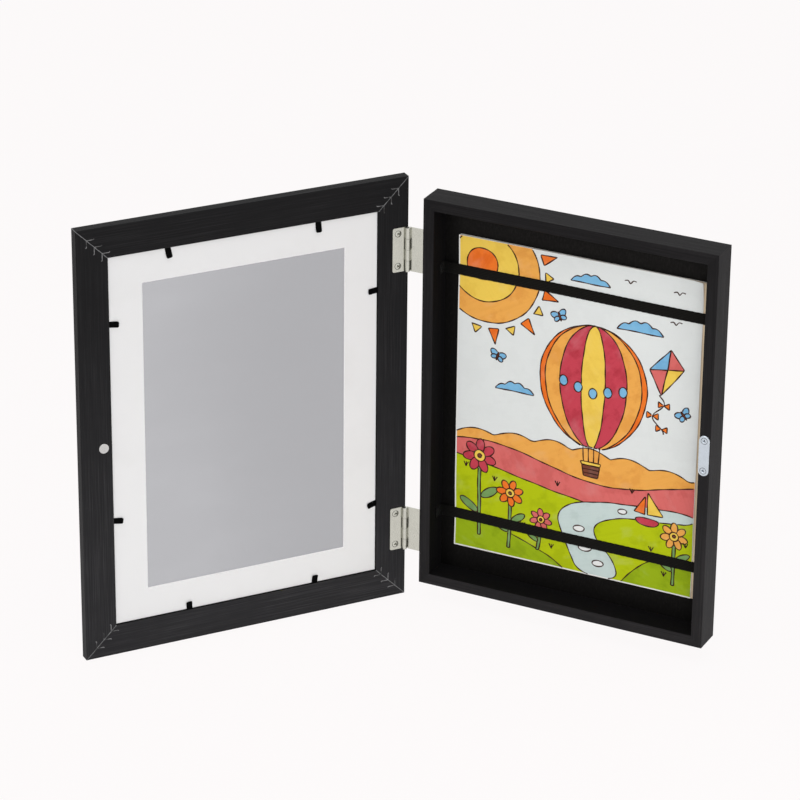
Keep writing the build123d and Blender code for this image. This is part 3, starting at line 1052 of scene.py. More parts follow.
@dataclass
class CrossheadScrews:
    """Countersunk screws with a cross recess; their recess floor and countersink ring are painted near-black
    as painted shade.

    Attributes:
        node: Node that they stand for.
        body: Body that they ride on.
        seats: Each head's middle and its outward direction.
        finish: Their plating.
        slot: Name of a material slot; not used.
        radius: Radius of the head's rim.
        sink: Radius of the countersink's mouth.
        crown: Height of the head's dome over its rim.
        land: Depth of the rim's edge.
        neck: Radius of the shank.
        depth: Depth of the cone below the head.
        length: Length of the whole screw.
        tip: Length of its point.
        tip_share: Radius of the point's end, as a share of the shank's.
        arm: Length of a recess arm from the middle.
        arm_width: Half width of an arm at its end.
        taper: How much of an arm's width follows its length, as a share.
        root_share: Place of the corner between two arms, as a share of an arm's half width.
        floor_share: Length of the arms at the recess floor, as a share.
        recess: Depth of the recess.
        inner_share: Radius of the ring round the recess, as a share of the rim's.
        sides: Number of corners round the head.
        weld: Distance within which two points of the mesh are one.
    """

    node: str
    body: str
    seats: list[tuple[Vector, Vector]]
    finish: PlatedMetal
    slot: str
    radius: float = 0.00252
    sink: float = 0.00284
    crown: float = 0.0004
    land: float = 0.00022
    neck: float = 0.0013
    depth: float = 0.0016
    length: float = 0.007
    tip: float = 0.0015
    tip_share: float = 0.2
    arm: float = 0.0014
    arm_width: float = 0.00032
    taper: float = 0.45
    root_share: float = 1.15
    floor_share: float = 0.45
    recess: float = 0.0008
    inner_share: float = 0.86
    sides: int = 32
    weld: float = 1e-9

    def cross(self, scale: float) -> list[Point2]:
        """Outline of the cross recess with slightly flared arms.

        Args:
            scale: Length of its arms, as a share.

        Returns:
            The corners.
        """
        half = self.arm_width * (1 - self.taper + self.taper * scale)
        tip, root = self.arm * scale, self.arm_width * self.root_share
        points: list[Point2] = []
        for turn in range(4):
            c, s = math.cos(turn * math.pi / 2), math.sin(turn * math.pi / 2)
            points += [(x * c - y * s, x * s + y * c) for x, y in ((tip, -half), (tip, half), (root, root))]
        return points

    def add_screw(self, solid: Solid, seat: Vector, normal: Vector, turn: float) -> None:
        """Adds one screw.

        Args:
            solid: What it is added to.
            seat: Middle of its head's rim.
            normal: Direction out of the head.
            turn: Turn of its recess in radians.
        """
        first = Matrix.Rotation(turn, 3, normal) @ normal.orthogonal().normalized()
        second = normal.cross(first)

        def spot(x: float, y: float, z: float) -> Vector:
            """Point in the head's own plane."""
            return seat + first * x + second * y + normal * z

        def dome(x: float, y: float) -> float:
            """Height of the domed top."""
            return self.crown * (1 - (x * x + y * y) / self.radius**2)

        edge = oval_ring(self.radius, self.radius, self.sides)
        rim = solid.ring([spot(x, y, dome(x, y)) for x, y in edge])
        narrow = self.radius * self.inner_share
        inner = [Vector(point) for point in oval_ring(narrow, narrow, self.sides)]
        outline = self.cross(1.0)
        mouth = [Vector(point) for point in outline]
        count, arms = len(inner), len(mouth)
        edges = [(k, (k + 1) % count) for k in range(count)]
        edges += [(count + k, count + (k + 1) % arms) for k in range(arms)]
        spots, _, faces, _, _, _ = delaunay_2d_cdt(inner + mouth, edges, [], 0, self.weld)
        top = solid.ring([spot(p.x, p.y, dome(p.x, p.y)) for p in spots])
        solid.bridge(rim, top[:count])
        for corners in faces:
            middle = sum((spots[c] for c in corners), Vector((0, 0))) / len(corners)
            if not inside([(middle.x, middle.y)], outline)[0]:
                solid.face([top[c] for c in corners])
        floor = solid.ring([spot(x, y, -self.recess) for x, y in self.cross(self.floor_share)])
        solid.bridge(top[count:count + arms], floor)
        # Painted shade: the recess floor takes the near-black second slot.
        solid.face(floor, 1)
        last = rim
        # Painted shade: the rim's edge and the countersink ring take the near-black second slot.
        profile = ((self.radius, -self.land, 1), (self.sink, -self.land, 1), (self.neck, -self.depth, 0),
                   (self.neck, self.tip - self.length, 0), (self.neck * self.tip_share, -self.length, 0))
        for radius, level, slot in profile:
            ring = solid.ring([spot(x, y, level) for x, y in oval_ring(radius, radius, self.sides)])
            solid.bridge(ring, last, slot=slot)
            last = ring
        solid.face(last[::-1])

    def build(self) -> bpy.types.Object:
        """Makes the screws.

        Returns:
            The piece that stands for the node.
        """
        solid = Solid()
        dice = random.Random(len(self.node))
        for seat, normal in self.seats:
            self.add_screw(solid, seat, normal, dice.uniform(0.0, math.pi))
        plating = self.finish.material(f"{self.node}_plating")
        # Painted shade: near-black steel for the recess floor and the countersink ring.
        recess_shade = BlackedSteel().material(f"{self.node}_grime")
        piece = solid.piece(f"crosshead_{self.node}", self.body, [plating, recess_shade], crease=35.0)
        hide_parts(self.node)
        return piece


@dataclass
class Metalwork:
    """Hinges, catch and hangers with their screws.

    Attributes:
        layout: Sizes of the case and the door.
        nickel: Plating of the hinges.
        zinc: Plating of the catch plate, its grain level.
        magnet: Plating of the magnet.
        hinge_height: Length of a hinge along its pin.
        hinge_end: Distance from the door's end to a hinge.
        hinge_inset: Distance from the door's edge to a leaf.
        leaf_thickness: Thickness of a leaf.
        leaf_line: Distance from a leaf's edge to its screws.
        leaf_spread: Distance between the two screws of a leaf.
        wing_line: Distance from the wall to the case leaf's screws.
        plate_thickness: Thickness of the catch plate.
        plate_line: Distance from the case's edge to the plate's screws.
        plate_spread: Distance between them.
        plate_crown: Height of their heads, which clear the shut door.
    """

    layout: Layout
    nickel: PlatedMetal = PlatedMetal((0.6, 0.6, 0.535))
    zinc: PlatedMetal = PlatedMetal((0.6, 0.66, 0.72), 0.24, (90.0, 1400.0, 1400.0))
    magnet: PlatedMetal = PlatedMetal((0.6, 0.6, 0.59), 0.24, (1400.0, 1400.0, 1400.0))
    hinge_height: float = 0.0381
    hinge_end: float = 0.043
    hinge_inset: float = 0.0016
    leaf_thickness: float = 0.001
    leaf_line: float = 0.0079
    leaf_spread: float = 0.028
    wing_line: float = 0.01605
    plate_thickness: float = 0.0012
    plate_line: float = 0.0049
    plate_spread: float = 0.026
    plate_crown: float = 0.00022

    def dress(self) -> None:
        """Gives the carried-over metal its plating."""
        hinges = ("upper_hinge", "lower_hinge")
        leaves = [f"{hinge}_{leaf}_leaf" for hinge in hinges for leaf in ("case", "door")]
        dress(leaves, self.nickel.material("nickel_plate"))
        # The pins are dark steel, partly as painted shade: they make the hinges' seams read black.
        dress([f"{hinge}_pin" for hinge in hinges], PlatedMetal((0.2, 0.2, 0.19), 0.4).material("seam_shade_pin_steel"))
        dress(["catch_plate"], self.zinc.material("zinc_plate"))
        dress(["catch_magnet"], self.magnet.material("magnet_nickel"))
        dress(["top_hanger", "side_hanger"], PlatedMetal((0.5, 0.5, 0.48), 0.4).material("hanger_zinc"))

    def build(self) -> list[bpy.types.Object]:
        """Makes the screws.

        Returns:
            The three pieces.
        """
        case, door = self.layout.case(), self.layout.door()
        hinge_side, latch_side = door.side(Side.HINGE), case.side(Side.LATCH)
        floors = (self.hinge_end - door.height / 2, door.height / 2 - self.hinge_end - self.hinge_height)
        middles = [floor + self.hinge_height / 2 for floor in floors]
        levels = [middle + way * self.leaf_spread / 2 for middle in middles for way in (-1, 1)]
        across = self.hinge_inset + self.leaf_line
        door_seats = [(hinge_side.at(-level, across, -self.leaf_thickness), -door.out) for level in levels]
        wing_x = -case.width / 2 - self.leaf_thickness
        case_seats = [(Vector((wing_x, -self.wing_line, level)), Vector((-1, 0, 0))) for level in levels]
        top = self.layout.case_depth + self.plate_thickness
        places = [latch_side.at(way * self.plate_spread / 2, self.plate_line, top) for way in (-1, 1)]
        plate_seats = [(place, case.out) for place in places]
        plate_screws = CrossheadScrews("catch_plate_screws", "case", plate_seats, self.zinc, "catch_steel",
                                       crown=self.plate_crown)
        return [
            CrossheadScrews("door_leaf_screws", "door", door_seats, self.nickel, "hinge_nickel").build(),
            CrossheadScrews("case_leaf_screws", "case", case_seats, self.nickel, "hinge_nickel").build(),
            plate_screws.build(),
        ]


@dataclass
class ElasticBand:
    """A flat elastic band across the drawings, its tails turned forward along the side walls.

    Attributes:
        node: Node that it stands for.
        level: Height of its middle in the row frame.
        edge: Distance from the case's middle to the side walls.
        line: Distance from the wall's plane to its middle line.
        tail: Length of a tail along the side wall.
        bend: Radius of the bend to a tail.
        width: Its width.
        thickness: Its thickness.
        picot: Depth of the scallops along its edges.
        picot_pitch: Length of a scallop.
        fall: How much lower than its middle it is stapled on the latch side.
        slack: Height of its slow waves.
        slack_rate: Radians of those waves, per metre.
        slack_shift: Radians by which a band's height moves them, per metre.
        section: Its cross-section, as shares of half the width and half the thickness.
        tail_steps: Number of stretches along a tail.
        bend_steps: Number of stretches round a bend.
        span_steps: Number of stretches across the drawings.
    """

    node: str
    level: float
    edge: float = 0.1172
    line: float = 0.0064
    tail: float = 0.009
    bend: float = 0.0015
    width: float = 0.0094
    thickness: float = 0.0008
    picot: float = 0.0001
    picot_pitch: float = 0.0052
    fall: float = 0.0005
    slack: float = 0.0003
    slack_rate: float = 31.0
    slack_shift: float = 40.0
    section: tuple[Point2, ...] = ((-1.0, -1.0), (1.0, -1.0), (1.0, 0.4), (0.94, 1.0), (0.5, 1.0),
                                   (0.0, 0.9), (-0.5, 1.0), (-0.94, 1.0), (-1.0, 0.4))
    tail_steps: int = 5
    bend_steps: int = 6
    span_steps: int = 150

    def path(self) -> list[tuple[Vector, Vector]]:
        """Middle line of the band from its hinge-side tail to its latch-side tail.

        Returns:
            Points of the line, each with the direction out of the band's front face.
        """
        rows: list[tuple[Vector, Vector]] = []
        for step in range(self.tail_steps):
            lift = self.line + self.tail - (self.tail - self.bend) * step / self.tail_steps
            rows.append((Vector((-self.edge, -lift, 0)), Vector(RIGHT)))
        centre = Vector((-self.edge + self.bend, -self.line - self.bend, 0))
        for step in range(self.bend_steps + 1):
            angle = step / self.bend_steps * math.pi / 2
            normal = Vector((math.cos(angle), -math.sin(angle), 0))
            rows.append((centre - normal * self.bend, normal))
        mirrored = [(Vector((-p.x, p.y, 0)), Vector((-n.x, n.y, 0))) for p, n in rows]
        span = self.edge - self.bend
        for step in range(1, self.span_steps):
            across = -span + 2 * span * step / self.span_steps
            rows.append((Vector((across, -self.line, 0)), Vector(FORWARD)))
        return rows + mirrored[::-1]

    def build(self, material: bpy.types.Material) -> bpy.types.Object:
        """Makes the band.

        Args:
            material: Its braid.

        Returns:
            The piece that stands for the node.
        """
        solid = Solid()
        rings, marks = [], []
        travelled = 0.0
        rows = self.path()
        for index, (point, normal) in enumerate(rows):
            if index:
                travelled += (point - rows[index - 1][0]).length
            scallop = self.picot * math.sin(travelled * math.tau / self.picot_pitch) - self.picot
            half, thick = self.width / 2 + scallop, self.thickness / 2
            held = math.sin(math.pi * index / (len(rows) - 1))
            slack = self.slack * math.sin(travelled * self.slack_rate + self.level * self.slack_shift) * held
            ring = []
            for across, out in self.section:
                height = self.level + across * half + slack - self.fall * point.x / self.edge
                ring.append(point + normal * (out * thick) + Vector((0, 0, height)))
                marks.append((travelled, across * half))
            rings.append(solid.ring(ring))
        for first, second in zip(rings, rings[1:]):
            solid.bridge(second, first)
        solid.face(rings[0])
        solid.face(rings[-1][::-1])
        piece = solid.piece(f"braided_{self.node}", "case", [material], crease=50.0)
        layer = piece.data.uv_layers.new(name="band")
        corners = [marks[loop.vertex_index] for loop in piece.data.loops]
        layer.data.foreach_set("uv", [part for mark in corners for part in mark])
        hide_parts(self.node)
        return piece


def inside(points: Sequence[Point2], outline: Sequence[Point2]) -> np.ndarray:
    """Tells which points lie in a closed outline.

    Args:
        points: Points to test.
        outline: Corners of the outline.

    Returns:
        One truth value for each point.
    """
    spots, corners = np.array(points, float), np.array(outline, float)
    following = np.roll(corners, -1, axis=0)
    found = np.zeros(len(spots), bool)
    for (ax, ay), (bx, by) in zip(corners, following):
        if ay == by:
            continue
        crosses = (ay > spots[:, 1]) != (by > spots[:, 1])
        reach = ax + (spots[:, 1] - ay) / (by - ay) * (bx - ax)
        found ^= crosses & (spots[:, 0] < reach)
    return found


class Pen(Enum):
    """Marker colours of the drawing, each with the depth and the slant of its strokes."""

    SKY = ((0.78, 0.8, 0.79), 0.12, 0.2)
    ORANGE = ((0.9, 0.2, 0.025), 0.55, 1.1)
    AMBER = ((0.88, 0.42, 0.09), 0.5, 0.5)
    YELLOW = ((0.9, 0.62, 0.1), 0.4, 2.2)
    CRIMSON = ((0.58, 0.06, 0.09), 0.6, 0.9)
    ROSE = ((0.72, 0.16, 0.15), 0.5, 2.0)
    LIME = ((0.48, 0.57, 0.006), 0.5, 0.4)
    MEADOW = ((0.33, 0.46, 0.01), 0.5, 2.6)
    LEAF = ((0.2, 0.36, 0.12), 0.5, 1.3)
    BLUE = ((0.22, 0.5, 0.75), 0.5, 0.15)
    STREAM = ((0.6, 0.7, 0.68), 0.35, 0.3)
    BARK = ((0.2, 0.06, 0.035), 0.4, 1.5)
    WHITE = ((0.84, 0.84, 0.83), 0.05, 0.7)

    def paper(self) -> Paper:
        """The pen's finish on paper."""
        colour, strokes, slant = self.value
        return Paper(colour, strokes, slant)


@dataclass
class Shape:
    """A filled area of the drawing.

    Attributes:
        pen: Its marker.
        outline: Its corners on the sheet, in millimetres from the lower left corner.
    """

    pen: Pen
    outline: list[Point2]


class Sketch:
    """The drawing's own design: a balloon over hills with a stream, tall flowers and a kite.

    All its places and sizes are in millimetres on the sheet, from the lower left corner.

    Attributes:
        ink_step: Largest distance between two points of an ink line.
        ink_margin: Distance from the paper's edge that ink lines keep.
        seed: Start of the flowers' random lean.
    """

    ink_step = 1.2
    ink_margin = 0.6
    seed = 11

    def __init__(self, width: float, height: float) -> None:
        """Lays out the design.

        Args:
            width: Width of the sheet.
            height: Height of the sheet.
        """
        self.width, self.height = width, height
        self.shapes: list[Shape] = []
        self.lines: list[list[Point2]] = []
        self.dice = random.Random(self.seed)
        self.landscape()
        self.sun(26, 252, 46)
        for x, y, size in ((160, 224, 14), (116, 257, 12), (52, 150, 12)):
            self.cloud(x, y, size)
        self.balloon(121, 172, 47)
        self.kite(184, 196, 15)
        for x, foot, tall, size, pen in ((22, 14, 86, 15, Pen.CRIMSON), (50, 8, 58, 12, Pen.ORANGE),
                                         (78, 12, 40, 10, Pen.ROSE), (196, 8, 52, 12, Pen.AMBER)):
            self.flower(x, foot, tall, size, pen)
        for x, y, turn in ((90, 224, 0.4), (36, 178, -0.3), (200, 160, 0.7)):
            self.butterfly(x, y, 6.5, turn)
        self.speckles()

    def fill(self, pen: Pen, outline: Sequence[Point2]) -> None:
        """Adds a filled area."""
        self.shapes.append(Shape(pen, list(outline)))

    def oval(self, pen: Pen, x: float, y: float, a: float, b: float, turn: float = 0.0,
             count: int = 36) -> None:
        """Adds a filled oval about x and y, of half length a and half breadth b, sloped by turn."""
        c, s = math.cos(turn), math.sin(turn)
        self.fill(pen, [(x + u * c - v * s, y + u * s + v * c) for u, v in oval_ring(a, b, count)])

    def hill(self, pen: Pen, height: Callable[[float], float]) -> None:
        """Adds ground below a line of the given height."""
        ridge = [(x, height(x)) for x in np.linspace(0, self.width, 64)]
        self.fill(pen, [(0.0, 0.0), (self.width, 0.0), *ridge[::-1]])

    def landscape(self) -> None:
        """Lays out the hills, the stream with its stones, and the boat."""
        self.hill(Pen.AMBER, lambda x: 104 + 5 * abs(math.sin(x / 11.0)) + 5 * math.sin(x / 60.0))
        self.hill(Pen.ROSE, lambda x: 92 + 9 * math.sin(x / 34.0 + 0.8))
        self.hill(Pen.LIME, lambda x: 76 + 13 * math.sin(x / 66.0 + 2.4))
        bank = [(214, 66), (190, 62), (160, 60), (136, 54), (124, 44), (128, 32), (142, 20), (150, 0)]
        far = [(112, 0), (104, 18), (96, 34), (92, 50), (104, 62), (134, 69), (166, 72), (self.width, 75)]
        self.fill(Pen.STREAM, self.rounded([*bank, *far], 3))

        def meadow(x: float) -> float:
            """Height of the near meadow, which the stream cuts in two."""
            return 20 + 9 * math.sin(x / 27.0 + 1.1) - 34 * math.exp(-((x - 132) / 30.0) ** 2)

        self.hill(Pen.MEADOW, meadow)
        for x, y, a in ((112, 40, 5), (118, 24, 6), (150, 64, 4), (130, 12, 5)):
            self.oval(Pen.WHITE, x, y, a, a * 0.55, 0.1)
        self.fill(Pen.CRIMSON, self.rounded([(160, 63), (184, 63), (180, 56), (164, 56)], 2))
        self.fill(Pen.YELLOW, [(172, 66), (172, 86), (186, 67)])
        self.fill(Pen.ORANGE, [(170, 66), (170, 82), (160, 67)])

    def rounded(self, corners: Sequence[Point2], rounds: int) -> list[Point2]:
        """Outline with its corners cut smooth.

        Args:
            corners: The corners.
            rounds: Number of times that each corner is cut.

        Returns:
            The smoother outline.
        """
        points = [Vector(corner) for corner in corners]
        for _ in range(rounds):
            points = [p for first, second in zip(points, points[1:] + points[:1])
                      for p in (first.lerp(second, 0.25), first.lerp(second, 0.75))]
        return [(p.x, p.y) for p in points]

    def sun(self, x: float, y: float, radius: float) -> None:
        """Adds the sun with broad rays.

        Args:
            x: Middle, across the sheet.
            y: Middle, up the sheet.
            radius: Its radius.
        """
        for step in range(11):
            angle = -1.75 + step * 0.3
            near, far = radius + 5, radius + (19 if step % 2 else 12)
            tip = (x + far * math.cos(angle), y + far * math.sin(angle))
            foot = [(x + near * math.cos(angle + d), y + near * math.sin(angle + d)) for d in (-0.09, 0.09)]
            self.fill(Pen.ORANGE if step % 2 else Pen.YELLOW, [foot[0], tip, foot[1]])
        for pen, dx, dy, share, count in ((Pen.AMBER, 0, 0, 1.0, 60), (Pen.YELLOW, -3, 2, 0.66, 48),
                                          (Pen.ORANGE, -5, 4, 0.3, 36)):
            self.oval(pen, x + dx, y + dy, radius * share, radius * share, count=count)

    def cloud(self, x: float, y: float, size: float) -> None:
        """Adds a blue cloud with a bumpy top and a flat foot.

        Args:
            x: Middle of its foot, across the sheet.
            y: Height of its foot.
            size: Its height, about.
        """
        edge: list[Point2] = []
        for step in range(49):
            share = step / 48
            heap = 0.55 * math.sin(math.pi * share) + 0.16 * abs(math.sin(4 * math.pi * share))
            edge.append((x + (share * 2.9 - 1.45) * size, y + heap * size))
        self.fill(Pen.BLUE, edge)

    def balloon(self, x: float, y: float, radius: float) -> None:
        """Adds the balloon with its gores, skirt, ropes, basket and a row of dots.

        Args:
            x: Middle, across the sheet.
            y: Height of its widest part.
            radius: Half of its breadth there.
        """
        pens = (Pen.ORANGE, Pen.AMBER, Pen.CRIMSON, Pen.YELLOW, Pen.CRIMSON, Pen.AMBER, Pen.ORANGE)
        cuts = [math.sin(math.pi * (k / len(pens) - 0.5)) for k in range(len(pens) + 1)]

        def edge(cut: float, step: float) -> Point2:
            """Point on a meridian of the balloon.

            Args:
                cut: The meridian's place, as a share of half the breadth.
                step: How far down it the point is, from 0 at the top.

            Returns:
                The point on the sheet.
            """
            angle = math.pi * (0.5 - step)
            shrink = 1.0 if angle > 0 else 1 - 0.16 * (1 - math.cos(angle))
            fall = radius * 1.06 if angle > 0 else radius * 1.25
            return x + cut * radius * math.cos(angle) * shrink, y + fall * math.sin(angle)

        steps = [k / 26 for k in range(25)]
        for pen, left, right in zip(pens, cuts, cuts[1:]):
            down = [edge(left, s) for s in steps]
            self.fill(pen, down + [edge(right, s) for s in reversed(steps)][:-1])
        foot, top = y - radius * 1.5, y - radius * 1.22
        for dx, lean in ((-8, -6.5), (8, 6.5), (-2.6, -2.2), (2.6, 2.2)):
            self.lines.append([(x + dx * 0.9, top), (x + lean, foot)])
        rim = foot - 3
        self.fill(Pen.YELLOW, [(x - 9, foot), (x + 9, foot), (x + 8, rim), (x - 8, rim)])
        self.fill(Pen.BARK, [(x - 8, rim), (x + 8, rim), (x + 6.4, rim - 10), (x - 6.4, rim - 10)])
        for row in (foot - 6.5, foot - 10):
            self.lines.append([(x - 7.2, row), (x + 7.2, row)])
        for step in range(5):
            self.oval(Pen.BLUE, x - 26 + step * 13, y - 6 - 3.2 * math.cos(step * 1.6 - 3.2), 3.6, 4.6)

    def kite(self, x: float, y: float, size: float) -> None:
        """Adds the kite with its bowed tail.

        Args:
            x: Middle, across the sheet.
            y: Middle, up the sheet.
            size: Half of its breadth.
        """
        top, right = (x + 3, y + size * 1.25), (x + size, y + 3)
        foot, left = (x - 4, y - size * 1.5), (x - size, y - 2)
        middle = (x + 0.5, y + 0.5)
        corners = (top, right, foot, left, top)
        for pen, first, second in zip((Pen.ROSE, Pen.YELLOW, Pen.ROSE, Pen.BLUE), corners, corners[1:]):
            self.fill(pen, [middle, first, second])
        tail = [(foot[0] - 2 + 5 * math.sin(k * 0.5), foot[1] - k * 2.1) for k in range(17)]
        self.lines.append([foot, *tail])
        for u, v in (tail[4], tail[9], tail[14]):
            for wing in (-5, 5):
                self.fill(Pen.ORANGE, [(u, v), (u + wing, v + 3), (u + wing, v - 3)])

    def flower(self, x: float, foot: float, tall: float, size: float, pen: Pen) -> None:
        """Adds a tall flower.

        Args:
            x: Its place across the sheet.
            foot: Height of the stem's foot.
            tall: Height of its middle.
            size: Radius of its petals' ring.
            pen: Marker of the petals.
        """
        lean = self.dice.uniform(-3, 3)
        stem = [(x - lean * (1 - k / 8) ** 2, foot + (tall - foot) * k / 8) for k in range(9)]
        self.fill(Pen.LEAF, [(u - 1.3, v) for u, v in stem] + [(u + 1.3, v) for u, v in stem[::-1]])
        for way, share in ((-1, 0.3), (1, 0.5)):
            across, height = x + way * size * 0.62 - lean * (1 - share) ** 2, foot + (tall - foot) * share
            self.oval(Pen.LEAF, across, height + size * 0.3, size * 0.62, size * 0.24, way * 0.6)
        petals, ring = 7, size * 0.6
        for petal in range(petals):
            angle = petal * math.tau / petals + lean
            across, up = x + ring * math.cos(angle), tall + ring * math.sin(angle)
            self.oval(pen, across, up, size * 0.42, size * 0.26, angle, 24)
        self.oval(Pen.YELLOW, x, tall, size * 0.34, size * 0.34, count=24)
        self.oval(Pen.BARK, x, tall, size * 0.12, size * 0.12, count=16)

    def butterfly(self, x: float, y: float, size: float, turn: float) -> None:
        """Adds a small blue butterfly.

        Args:
            x: Middle, across the sheet.
            y: Middle, up the sheet.
            size: Length of a wing, about.
            turn: Its slope in radians.
        """
        for way in (-1, 1):
            for reach, spread, a, b in ((0.62, 0.55, 0.62, 0.4), (0.5, -0.45, 0.42, 0.3)):
                angle = turn + math.pi / 2 - way * (math.pi / 2 - spread)
                across, up = x + reach * size * math.cos(angle), y + reach * size * math.sin(angle)
                self.oval(Pen.BLUE, across, up, a * size, b * size, angle, 20)
        self.oval(Pen.BARK, x, y, size * 0.12, size * 0.62, turn, 16)

    def speckles(self) -> None:
        """Adds tufts on the grass and birds in the sky."""
        tufts = ((36, 66), (62, 30), (92, 74), (176, 34), (206, 44), (158, 82), (10, 74), (188, 14),
                 (88, 16))
        for x, y in tufts:
            for lean in (-2.2, 0.0, 2.2):
                self.lines.append([(x, y), (x + lean * 0.6, y + 2.6), (x + lean, y + 4.2)])
        bird = ((-5, 2), (-2, 3), (0, 0), (2.4, 3.2), (5.2, 2.6))
        for x, y in ((150, 264), (192, 262), (190, 236)):
            self.lines.append([(x + dx, y + dy) for dx, dy in bird])

    def clipped(self, index: int) -> list[list[Point2]]:
        """Visible runs of the outline of one shape.

        Args:
            index: The shape's number, in the order of drawing.

        Returns:
            Lines that no later shape covers and that stay off the paper's edge.
        """
        outline, margin = self.shapes[index].outline, self.ink_margin
        points = self.dense([*outline, outline[0]], self.ink_step)
        hidden = np.zeros(len(points), bool)
        for later in self.shapes[index + 1:]:
            hidden |= inside(points, later.outline)
        runs: list[list[Point2]] = [[]]
        for (x, y), covered in zip(points, hidden):
            if covered or not (margin < x < self.width - margin and margin < y < self.height - margin):
                runs.append([])
            else:
                runs[-1].append((x, y))
        return [run for run in runs if len(run) > 2]

    def dense(self, points: Sequence[Point2], step: float) -> list[Point2]:
        """Line with its points at most a step apart.

        Args:
            points: Corners of the line.
            step: The largest distance.

        Returns:
            The denser line.
        """
        found = [points[0]]
        for (ax, ay), (bx, by) in zip(points, points[1:]):
            count = max(1, math.ceil(math.hypot(bx - ax, by - ay) / step))
            found += [(ax + (bx - ax) * k / count, ay + (by - ay) * k / count) for k in range(1, count + 1)]
        return found

    def strokes(self) -> list[list[Point2]]:
        """All ink lines that show."""
        found = [run for index in range(len(self.shapes)) for run in self.clipped(index)]
        return found + [self.dense(line, self.ink_step) for line in self.lines]


